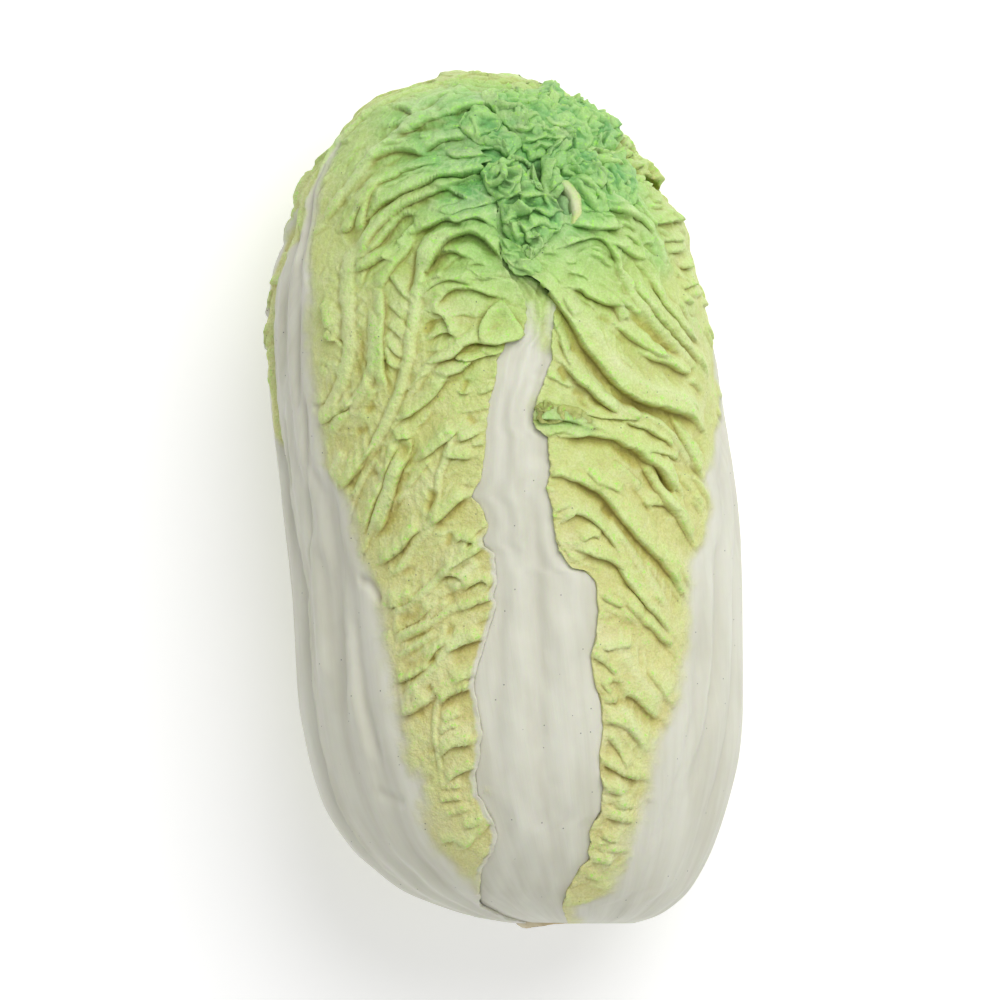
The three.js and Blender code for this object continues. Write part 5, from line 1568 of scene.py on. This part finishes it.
def build_crown(sizes):
    """The heart: a closed core whose top is crumpled, with the ruffled tips on it."""
    core, ball = added_ball("heart_piece", *(((190, 100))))
    around = np.degrees(np.arctan2(ball[:, 0], ball[:, 1]))
    polar = np.arccos(np.clip(-ball[:, 2], -1, 1)) / math.pi
    reach = 0.15 + 0.85 * (1 - (1 - polar) ** 1.9)
    place = surface_point(-around, reach)
    noise = Noise(77)
    rise = (HEART_DEPTH - CROWN_DEPTH) * smooth((reach - 0.84) / 0.045) + 2.3 * smooth((reach - 0.9) / 0.035)
    top = smooth((reach - 0.87) / 0.04)
    warp = noise.warp(place, 19.0, 6.0)
    ridged = 1 - 2 * np.abs(noise.smooth(place + 2.4 * warp, 8.0))
    fine = 1 - 2 * np.abs(noise.smooth(place + 1.4 * warp, 3.6))
    lump = 1.6 * (ridged - 0.5) + 0.8 * (fine - 0.5)
    shape(core, place + surface_normal(place) * (top * lump + rise - HEART_DEPTH)[:, None])
    none = np.zeros(len(place))
    # Painted highlight on the tops of the lumps (ridge) and painted shade in their hollows (crease).
    mark(core, blade=none + 1, tint=0.5 * top, ridge=np.clip(lump / 1.5, 0, 1) * top,
         crease=np.clip(-lump / 1.2, 0, 1), crown=np.linalg.norm(place - CROWN_MIDDLE, axis=-1) / CROWN_SPAN,
         veins=none, hollow=none)
    bunches = [Bunch(i, *row) for i, row in enumerate(BUNCHES)]
    bunches += [Bunch(40 + i, 3.0, 1.0, 0.25, *hidden_bunch(*row)) for i, row in enumerate(HIDDEN_BUNCHES)]
    # The inner rib: greener towards its right side and lower end as painted shade; shade below zero takes painted
    # shade off.
    bunches.append(Bunch(60, 2.0, 0.1, 0.0, *INNER_RIB, blade=(0.5, 0.9), overhang=0.2, shade=-0.6, crown=5.0))
    join(core, [bunch.make(f"bunch_{i}") for i, bunch in enumerate(bunches)])
    bpy.ops.object.shade_smooth()
    return core


BUTT_RADIUS = 21.0
BUTT_DEPTH = 15.0
BUTT_INSET = 2.8  # of the cut face, below the head's end
FACE_SHARE = 0.7  # of the way round the ball that becomes the cut face


def build_butt(sizes):
    """The cut end of the core: a disc with the sliced bases of the leaves round it."""
    butt, ball = added_ball("stem_piece", 144, 40)
    outwards = direction_to(np.array(0.0), np.array(0.0))
    middle = surface_point(np.array(0.0), np.array(0.0)) - outwards * BUTT_INSET
    side = unit(np.cross(outwards, np.array([0.0, 0.0, 1.0])))
    up = np.cross(side, outwards)
    around = np.arctan2(ball[:, 1], ball[:, 0])
    polar = np.arccos(np.clip(ball[:, 2], -1, 1)) / math.pi
    flat = np.clip(polar / FACE_SHARE, 0, 1)
    wall = smooth((polar - FACE_SHARE) / (1 - FACE_SHARE))
    radius = BUTT_RADIUS * np.where(polar < FACE_SHARE, flat**0.9, 1 - 0.55 * wall)
    noise = Noise(88)
    spot = np.stack([radius * np.cos(around), radius * np.sin(around), 0 * radius], -1)
    wobble = 1 + 0.04 * noise.smooth(spot, 14.0) + 0.02 * np.sin(5 * around)
    turn = radius + 1.1 * around + 1.3 * noise.smooth(spot, 10.0)
    layer = np.abs(((turn / 3.5) % 1) - 0.5) * 2
    groove = smooth((layer - 0.72) / 0.2) * smooth((radius - 9.5) / 1.5) * (polar < FACE_SHARE)
    dish = 0.4 * (1 - (radius / BUTT_RADIUS) ** 2) + 2.6 * smooth((flat - 0.7) / 0.3) ** 2
    height = -dish + 0.35 * noise.smooth(spot, 5.0) + 0.15 * noise.smooth(spot, 1.8) - 1.2 * groove
    height = np.where(polar < FACE_SHARE, height, height * (1 - wall) - BUTT_DEPTH * wall)
    shape(butt, middle + outwards * height[:, None] + side * (radius * wobble * np.cos(around))[:, None]
          + up * (radius * wobble * np.sin(around))[:, None])
    mark(butt, crease=groove, ridge=1 - smooth((layer - 0.2) / 0.4), crown=radius / BUTT_RADIUS)
    butt.data.flip_normals()
    bpy.ops.object.shade_smooth()
    return butt


# ---- Materials ----
FLOAT, VECTOR, COLOUR = "NodeSocketFloat", "NodeSocketVector", "NodeSocketColor"
FINISH = [("Color", COLOUR), ("Height", FLOAT), ("Roughness", FLOAT)]


def linear(red, green, blue):
    """A colour given as 0 to 255 values on screen, as the shader needs it."""
    values = [c / 255 for c in (red, green, blue)]
    return tuple(c / 12.92 if c <= 0.04045 else ((c + 0.055) / 1.055) ** 2.4 for c in values)


def ink(red, green, blue):
    return *linear(red, green, blue), 1


class Nodes:
    """Short names for adding and joining shader nodes."""

    def __init__(self, tree):
        self.tree = tree

    def add(self, kind, **settings):
        node = self.tree.nodes.new(kind if kind.startswith("Node") else "ShaderNode" + kind)
        for key, value in settings.items():
            setattr(node, key, value)
        return node

    def feed(self, socket, value):
        if isinstance(value, bpy.types.NodeSocket):
            self.tree.links.new(value, socket)
        else:
            socket.default_value = value

    def put(self, node, **values):
        """Sets or links inputs; an underscore stands for a space."""
        for key, value in values.items():
            self.feed(node.inputs[key.replace("_", " ")], value)
        return node

    def attribute(self, name, output="Fac"):
        return self.add("Attribute", attribute_name=name).outputs[output]

    def place(self):
        return self.add("TexCoord").outputs["Object"]

    def noise(self, vector, scale, detail=3, rough=0.55):
        node = self.add("TexNoise")
        return self.put(node, Vector=vector, Scale=scale, Detail=detail, Roughness=rough).outputs["Fac"]

    def cells(self, vector, scale):
        return self.put(self.add("TexVoronoi", feature="F1"), Vector=vector, Scale=scale).outputs

    def stretched(self, vector, scale):
        return self.put(self.add("Mapping"), Vector=vector, Scale=scale).outputs["Vector"]

    def math(self, operation, a, b, clamp=False):
        node = self.add("Math", operation=operation, use_clamp=clamp)
        self.feed(node.inputs[0], a)
        self.feed(node.inputs[1], b)
        return node.outputs[0]

    def plus(self, a, b, clamp=False):
        return self.math("ADD", a, b, clamp)

    def times(self, a, b):
        return self.math("MULTIPLY", a, b)

    def ramp(self, value, low, high, to_low=0.0, to_high=1.0):
        node = self.add("MapRange", interpolation_type="SMOOTHSTEP")
        self.put(node, Value=value, From_Min=low, From_Max=high, To_Min=to_low, To_Max=to_high)
        return node.outputs["Result"]

    def mix(self, share, a, b, blend="MIX"):
        node = self.add("Mix", data_type="RGBA", blend_type=blend, clamp_factor=True)
        return self.put(node, Factor=share, A=a, B=b).outputs["Result"]

    def tinted(self, share, colour, tint):
        """The colour multiplied by a tint, as far as share says."""
        return self.mix(share, colour, self.mix(1.0, colour, tint, "MULTIPLY"))

    def colours(self, value, stops):
        node = self.put(self.add("ValToRGB"), Fac=value)
        elements = node.color_ramp.elements
        while len(elements) < len(stops):
            elements.new(0.5)
        for element, (at, colour) in zip(elements, stops):
            element.position, element.color = at, colour
        return node.outputs["Color"]

    def bump(self, height, strength, distance):
        return self.put(self.add("Bump"), Height=height, Strength=strength, Distance=distance).outputs["Normal"]

    def group(self, tree, **values):
        return self.put(self.add("Group", node_tree=tree), **values).outputs


def new_group(name, inputs, outputs):
    """A node group, its adder of nodes and what it is given."""
    group = bpy.data.node_groups.new(name, "ShaderNodeTree")
    for label, kind, default in inputs:
        socket = group.interface.new_socket(name=label, in_out="INPUT", socket_type=kind)
        if default is not None:
            socket.default_value = default
    for label, kind in outputs:
        group.interface.new_socket(name=label, in_out="OUTPUT", socket_type=kind)
    n = Nodes(group)
    return group, n, n.add("NodeGroupInput").outputs


def specks_group():
    """Sparse tiny dark marks."""
    inputs = [("Vector", VECTOR, None), ("Spacing", FLOAT, 260.0), ("Size", FLOAT, 0.08), ("Cover", FLOAT, 0.6)]
    group, n, given = new_group("Specks", inputs, [("Mask", FLOAT)])
    cells = n.cells(given["Vector"], given["Spacing"])
    dot = n.math("LESS_THAN", cells["Distance"], given["Size"])
    chosen = n.put(n.add("SeparateColor"), Color=cells["Color"])
    patches = n.noise(given["Vector"], 45.0, 2)
    cover = n.plus(n.times(chosen.outputs["Red"], 0.55), n.times(patches, 0.6))
    n.put(n.add("NodeGroupOutput"), Mask=n.times(dot, n.math("GREATER_THAN", cover, given["Cover"])))
    return group


def rib_group():
    """Waxy white rib: long fibres, faint stains and a soft shade in the grooves."""
    group, n, given = new_group("Rib finish", [
        ("Vector", VECTOR, None), ("Flow", VECTOR, None), ("Crease", FLOAT, 0.0),
        ("Light", COLOUR, (0.8, 0.8, 0.72, 1)), ("Shade", COLOUR, (0.6, 0.6, 0.5, 1)),
    ], FINISH)
    fibres = n.noise(n.stretched(given["Flow"], (1400, 70, 1)), 1.0, 3, 0.6)
    broad = n.noise(n.stretched(given["Flow"], (110, 14, 1)), 1.0, 3, 0.6)
    stain = n.noise(given["Vector"], 26.0, 4, 0.6)
    tone = n.ramp(n.plus(n.times(broad, 0.7), n.times(stain, 0.5)), 0.42, 0.82)
    colour = given["Light"]
    # Random tone and fibres are the rib's own colour; the crease mask adds painted shade in the grooves.
    for mask, share in ((tone, 0.65), (n.ramp(fibres, 0.55, 0.75), 0.18), (given["Crease"], 0.45)):
        colour = n.mix(n.times(mask, share), colour, given["Shade"])
    n.put(n.add("NodeGroupOutput"), Color=colour, Height=n.plus(n.times(fibres, 0.5), n.times(broad, 0.6)),
          Roughness=n.plus(0.42, n.times(stain, 0.2)))
    return group


BLADE_COLOURS = [
    (0.0, ink(118, 186, 110)), (0.06, ink(146, 206, 122)), (0.13, ink(170, 216, 130)), (0.24, ink(194, 222, 138)),
    (0.38, ink(214, 226, 148)), (0.6, ink(222, 225, 152)), (0.95, ink(228, 226, 160)),
]


def blade_group():
    """Puckered blade: pale by the ribs, deep green at the crown, with painted highlight on ridges and painted olive
    shade in creases and hollows.
    """
    group, n, given = new_group("Blade finish", [
        ("Vector", VECTOR, None), ("Crown", FLOAT, 0.5), ("Tint", FLOAT, 0.0), ("Ridge", FLOAT, 0.0),
        ("Crease", FLOAT, 0.0), ("Veins", FLOAT, 0.0), ("Hollow", FLOAT, 0.0),
        ("Crease colour", COLOUR, (0.1, 0.12, 0.03, 1)), ("Fleck colour", COLOUR, (0.4, 0.8, 0.1, 1)),
    ], FINISH)

    def noise(scale, detail=3, rough=0.6):
        return n.noise(given["Vector"], scale, detail, rough)

    fine = noise(170.0, 4, 0.65)
    by_crown = n.ramp(given["Crown"], 0.06, 0.32)
    # Painted shade: the colour put deep in creases and the tint over hollows, both greener near the crown.
    crease_shade = n.mix(by_crown, ink(52, 104, 48), given["Crease colour"])
    hollow_shade = n.mix(by_crown, ink(176, 208, 142), ink(230, 214, 156))
    uneven = n.times(n.math("SUBTRACT", noise(28.0), 0.5), 0.22)
    at = n.math("SUBTRACT", n.plus(given["Crown"], uneven), n.times(given["Tint"], 0.30), clamp=True)
    colour = n.colours(at, BLADE_COLOURS)
    colour = n.tinted(n.times(n.ramp(fine, 0.3, 0.75), 0.3), colour, ink(222, 216, 190))
    colour = n.mix(n.times(n.ramp(noise(70.0), 0.45, 0.7), 0.3), colour, ink(234, 236, 194))
    green = n.times(n.ramp(noise(95.0), 0.45, 0.7), 0.34)
    # Painted highlight on ridges, mixed with random green patches.
    bright = n.plus(n.times(given["Ridge"], 0.65), green, clamp=True)
    colour = n.mix(bright, colour, n.mix(0.5, colour, ink(206, 242, 156)))
    colour = n.mix(n.times(given["Veins"], 0.7), colour, n.mix(0.6, colour, ink(236, 242, 200)))
    # Painted shade: the hollows are tinted darker, the creases take the crease shade colour, and the deepest creases
    # are darkened further.
    colour = n.tinted(n.times(given["Hollow"], 0.8), colour, hollow_shade)
    colour = n.mix(n.ramp(given["Crease"], 0.2, 0.85, 0.0, 0.52), colour, n.mix(0.5, colour, crease_shade))
    deepest_shade = n.mix(1.0, n.mix(0.5, colour, crease_shade), ink(186, 176, 140), "MULTIPLY")
    colour = n.mix(n.ramp(given["Crease"], 0.65, 1.0, 0.0, 0.5), colour, deepest_shade)
    colour = n.tinted(n.times(n.ramp(noise(1300.0, 2), 0.3, 0.7), 0.4), colour, ink(216, 220, 190))
    fleck = n.ramp(noise(620.0, 2, 0.7), 0.57, 0.68)
    on_ridge = n.ramp(n.plus(n.times(given["Ridge"], 0.5), noise(60.0, 2, 0.55)), 0.5, 0.85)
    colour = n.mix(n.times(n.times(fleck, on_ridge), 0.7), colour, given["Fleck colour"])
    cushions = n.times(n.cells(given["Vector"], 520.0)["Distance"], 0.4)
    grain, leather = n.times(noise(900.0, 2), 0.45), n.times(noise(1500.0, 2), 0.45)
    n.put(n.add("NodeGroupOutput"), Color=colour, Roughness=n.plus(0.5, n.times(fine, 0.18)),
          Height=n.plus(n.times(fine, 1.0), n.plus(cushions, n.plus(grain, leather))))
    return group


def new_material(name):
    material = bpy.data.materials.new(name)
    material.use_nodes = True
    material.node_tree.nodes.clear()
    return material, Nodes(material.node_tree)


def finish_shader(n, **values):
    shader = n.put(n.add("BsdfPrincipled"), **values)
    n.put(n.add("OutputMaterial"), Surface=shader.outputs["BSDF"])


def leaf_material(name, groups, sizes):
    material, n = new_material(name)
    place, crease = n.place(), n.attribute("crease")
    rib = n.group(groups["Rib finish"], Vector=place, Flow=n.attribute("flow", "Vector"), Crease=crease,
                  Light=(*sizes.rib_light, 1), Shade=(*sizes.rib_shade, 1))
    masks = {mask.title(): n.attribute(mask) for mask in ("crown", "tint", "ridge", "veins", "hollow")}
    blade = n.group(groups["Blade finish"], Vector=place, Crease=crease, Crease_colour=(*sizes.crease_colour, 1),
                    Fleck_colour=(*sizes.fleck_colour, 1), **masks)
    ragged_edge = n.times(n.math("SUBTRACT", n.noise(place, 300.0, 3, 0.6), 0.5), 0.5)
    share = n.ramp(n.plus(n.attribute("blade"), n.times(ragged_edge, 0.6)), 0.08, 1.0)
    colour = n.mix(share, rib["Color"], blade["Color"])
    specks = n.group(groups["Specks"], Vector=place, Spacing=300.0, Size=0.075, Cover=0.68)
    height = n.mix(share, n.times(rib["Height"], 0.16), blade["Height"])
    finish_shader(
        n, Base_Color=n.mix(n.times(specks["Mask"], 0.75), colour, ink(84, 92, 92)),
        Roughness=n.mix(share, rib["Roughness"], blade["Roughness"]), Normal=n.bump(height, 0.8, 0.0009),
        Specular_IOR_Level=0.38, Subsurface_Weight=0.2, Subsurface_Radius=(0.6, 1.0, 0.3), Subsurface_Scale=0.004)
    return material


def butt_material(name, groups, sizes):
    material, n = new_material(name)
    place = n.place()
    fine, broad = n.noise(place, 420.0, 4, 0.65), n.noise(place, 90.0, 3, 0.6)
    colour = n.mix(n.ramp(broad, 0.3, 0.7), ink(226, 216, 184), ink(196, 176, 132))
    rim = n.ramp(n.plus(n.attribute("crown"), n.times(fine, 0.2)), 0.85, 1.12)
    specks = n.group(groups["Specks"], Vector=place, Spacing=520.0, Size=0.22, Cover=0.55)
    for mask, share, paint in (
        (n.ramp(fine, 0.5, 0.72), 0.5, ink(164, 136, 92)), (rim, 0.6, ink(206, 197, 170)),
        (n.attribute("crease"), 0.75, ink(112, 84, 50)), (specks["Mask"], 0.6, ink(96, 70, 44)),
    ):
        colour = n.mix(n.times(mask, share), colour, paint)
    height = n.plus(fine, n.times(broad, 0.6))
    finish_shader(n, Base_Color=colour, Roughness=n.plus(0.66, n.times(fine, 0.2)),
                  Normal=n.bump(height, 0.7, 0.0006), Specular_IOR_Level=0.25)
    return material


SHARED_GROUPS = {"Specks": specks_group, "Rib finish": rib_group, "Blade finish": blade_group}


def finished_material(name, sizes):
    known = bpy.data.materials.get(name)
    if known:
        return known
    groups = {key: bpy.data.node_groups.get(key) or make() for key, make in SHARED_GROUPS.items()}
    make = butt_material if name == "Cut butt" else leaf_material
    return make(name, groups, sizes)


def floor_material(colour):
    material, n = new_material("Floor")
    finish_shader(n, Base_Color=(*colour, 1), Roughness=0.9, Specular_IOR_Level=0.1, Emission_Color=(1, 1, 1, 1),
                  Emission_Strength=0.24)
    return material


# ---- The add-on ----
def colour_of(name, description, red, green, blue):
    return bpy.props.FloatVectorProperty(name=name, description=description, subtype="COLOR", size=3, min=0, max=1,
                                         default=linear(red, green, blue))


def length_of(name, description, default):
    return bpy.props.FloatProperty(name=name, description=description, default=default, unit="LENGTH",
                                   subtype="DISTANCE")


class CabbageLeafSettings(bpy.types.PropertyGroup):
    rib_thickness: length_of("Rib thickness", "Thickness of the outer leaves at their ribs", 0.0055)
    margin_thickness: length_of("Margin thickness", "Thickness of a leaf at its free margin", 0.0011)
    fold_scale: bpy.props.FloatProperty(name="Fold height", description="How strongly the blades are folded",
                                        default=1.0, subtype="FACTOR", min=0, max=2)
    rib_light: colour_of("Rib", "Colour of the white ribs", 221, 221, 206)
    # The rib shade colour serves both the stains and random tone of the ribs and the painted shade in their grooves.
    rib_shade: colour_of("Rib shade", "Colour of their grooves and stains", 196, 194, 175)
    # Painted shade: the colour put deep in the folds.
    crease_colour: colour_of("Crease", "Colour deep in the folds", 168, 150, 76)
    fleck_colour: colour_of("Flecks", "Colour of the bright flecks on ridges", 170, 240, 90)


class CabbageStudioSettings(bpy.types.PropertyGroup):
    floor_colour: colour_of("Floor", "Colour of the floor", 252, 252, 252)
    light_power: bpy.props.FloatProperty(name="Light power", description="Power of the big soft light",
                                         default=21.5, unit="POWER")


class LeafOperator:
    """Makes one piece that takes the place of one node."""
    bl_options = {"REGISTER", "UNDO"}
    slot = "outer_leaf"
    material = "Outer leaf"

    def execute(self, context):
        sizes = context.scene.cabbage_leaves
        piece = self.build(sizes)
        if not len(piece.data.polygons):
            raise RuntimeError(f"{self.bl_label} made no mesh")
        piece.data.materials.clear()
        piece.data.materials.append(finished_material(self.material, sizes))
        node, slot = self.node, self.slot
        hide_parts(node)
        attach(piece, "root")
        return {"FINISHED"}


class CABBAGE_OT_left_leaf(LeafOperator, bpy.types.Operator):
    """Make the big front leaf on the left"""
    bl_idname = "cabbage.left_leaf"
    bl_label = "Left leaf"
    build = staticmethod(build_left_leaf)
    node = "leaf_left"


class CABBAGE_OT_right_leaf(LeafOperator, bpy.types.Operator):
    """Make the big front leaf on the right"""
    bl_idname = "cabbage.right_leaf"
    bl_label = "Right leaf"
    build = staticmethod(build_right_leaf)
    node = "leaf_right"


class CABBAGE_OT_centre_leaf(LeafOperator, bpy.types.Operator):
    """Make the white rib between the two front leaves"""
    bl_idname = "cabbage.centre_leaf"
    bl_label = "Centre leaf"
    build = staticmethod(build_centre_leaf)
    node = "leaf_centre"
    slot = "white_rib"


class CABBAGE_OT_back_leaf(LeafOperator, bpy.types.Operator):
    """Make the leaf that the head lies on"""
    bl_idname = "cabbage.back_leaf"
    bl_label = "Back leaf"
    build = staticmethod(build_back_leaf)
    node = "leaf_back"


class CABBAGE_OT_back_left_leaf(LeafOperator, bpy.types.Operator):
    """Make the ribbed leaf along the left side"""
    bl_idname = "cabbage.back_left_leaf"
    bl_label = "Back left leaf"
    build = staticmethod(build_back_left_leaf)
    node = "leaf_back_left"


class CABBAGE_OT_back_right_leaf(LeafOperator, bpy.types.Operator):
    """Make the ribbed leaf between the right and the back leaf"""
    bl_idname = "cabbage.back_right_leaf"
    bl_label = "Back right leaf"
    build = staticmethod(build_back_right_leaf)
    node = "leaf_back_right"


class CABBAGE_OT_crown(LeafOperator, bpy.types.Operator):
    """Make the heart with its ruffled crown"""
    bl_idname = "cabbage.crown"
    bl_label = "Crown"
    build = staticmethod(build_crown)
    node = "heart"
    slot = "crown"


class CABBAGE_OT_butt(LeafOperator, bpy.types.Operator):
    """Make the cut butt"""
    bl_idname = "cabbage.butt"
    bl_label = "Cut butt"
    build = staticmethod(build_butt)
    node = "stem"
    slot = "cut_butt"
    material = "Cut butt"


CAMERA_DISTANCE = 5.0
SENSOR_WIDTH = 36
VIEW_WIDTH = 0.35  # of the floor plane through the head's middle
VIEW_MIDDLE = (-0.00195, -0.0002)
LIT_PLACE = Vector((0, 0, 0.07))
WORLD_STRENGTH = 0.42
# Round soft lights: name, place, size, share of the light power
LIGHTS = (
    ("Top light", (0.52, 0.85, 1.55), 1.5, 1.0),
    ("Right light", (1.5, -0.1, 1.0), 0.9, 0.05),
    ("Front light", (-0.3, -1.2, 1.6), 1.2, 0.18),
)


class CABBAGE_OT_studio(bpy.types.Operator):
    """Make the floor, the lights and the camera"""
    bl_idname = "cabbage.studio"
    bl_label = "Studio"
    bl_options = {"REGISTER", "UNDO"}

    def execute(self, context):
        look, scene = context.scene.cabbage_studio, context.scene
        floor = added("floor", bpy.ops.mesh.primitive_plane_add, size=8, location=(0, 0, 0))
        floor.data.materials.append(floor_material(look.floor_colour))
        scene.world = bpy.data.worlds.new("Studio")
        scene.world.use_nodes = True
        background = scene.world.node_tree.nodes["Background"].inputs
        background["Color"].default_value = (1, 1, 1, 1)
        background["Strength"].default_value = WORLD_STRENGTH
        for name, place, size, share in LIGHTS:
            light = added(name, bpy.ops.object.light_add, type="AREA", location=place)
            light.data.shape = "DISK"
            light.data.size = size
            light.data.energy = look.light_power * share
            light.visible_camera = False
            light.rotation_mode = "QUATERNION"
            light.rotation_quaternion = (LIT_PLACE - Vector(place)).to_track_quat("-Z", "Y")
        height = CAMERA_DISTANCE + AXIS_HEIGHT * MM
        camera = added("camera", bpy.ops.object.camera_add, location=(*VIEW_MIDDLE, height), rotation=(0, 0, 0))
        camera.data.sensor_width = SENSOR_WIDTH
        camera.data.lens = SENSOR_WIDTH * CAMERA_DISTANCE / VIEW_WIDTH
        camera.data.clip_end = 50
        scene.camera = camera
        scene.view_settings.view_transform = "Standard"
        return {"FINISHED"}


PIECES = (
    CABBAGE_OT_back_leaf, CABBAGE_OT_back_left_leaf, CABBAGE_OT_back_right_leaf, CABBAGE_OT_centre_leaf,
    CABBAGE_OT_left_leaf, CABBAGE_OT_right_leaf, CABBAGE_OT_crown, CABBAGE_OT_butt,
)


class CABBAGE_PT_panel(bpy.types.Panel):
    """Sizes, colours and buttons for the napa cabbage"""
    bl_idname = "CABBAGE_PT_panel"
    bl_label = "Napa Cabbage"
    bl_space_type = "VIEW_3D"
    bl_region_type = "UI"
    bl_category = "Cabbage"

    def draw(self, context):
        layout = self.layout
        for settings in (context.scene.cabbage_leaves, context.scene.cabbage_studio):
            for key in settings.bl_rna.properties.keys():
                if key not in ("rna_type", "name"):
                    layout.prop(settings, key)
        for piece in (*PIECES, CABBAGE_OT_studio):
            layout.operator(piece.bl_idname)


CLASSES = (CabbageLeafSettings, CabbageStudioSettings, *PIECES, CABBAGE_OT_studio, CABBAGE_PT_panel)


def register():
    for item in CLASSES:
        bpy.utils.register_class(item)
    bpy.types.Scene.cabbage_leaves = bpy.props.PointerProperty(type=CabbageLeafSettings)
    bpy.types.Scene.cabbage_studio = bpy.props.PointerProperty(type=CabbageStudioSettings)


def unregister():
    del bpy.types.Scene.cabbage_studio
    del bpy.types.Scene.cabbage_leaves
    for item in reversed(CLASSES):
        bpy.utils.unregister_class(item)


def main():
    register()
    bpy.ops.cabbage.back_leaf()
    bpy.ops.cabbage.back_left_leaf()
    bpy.ops.cabbage.back_right_leaf()
    bpy.ops.cabbage.centre_leaf()
    bpy.ops.cabbage.left_leaf()
    bpy.ops.cabbage.right_leaf()
    bpy.ops.cabbage.crown()
    bpy.ops.cabbage.butt()
    bpy.ops.cabbage.studio()


if __name__ == "__main__":
    main()
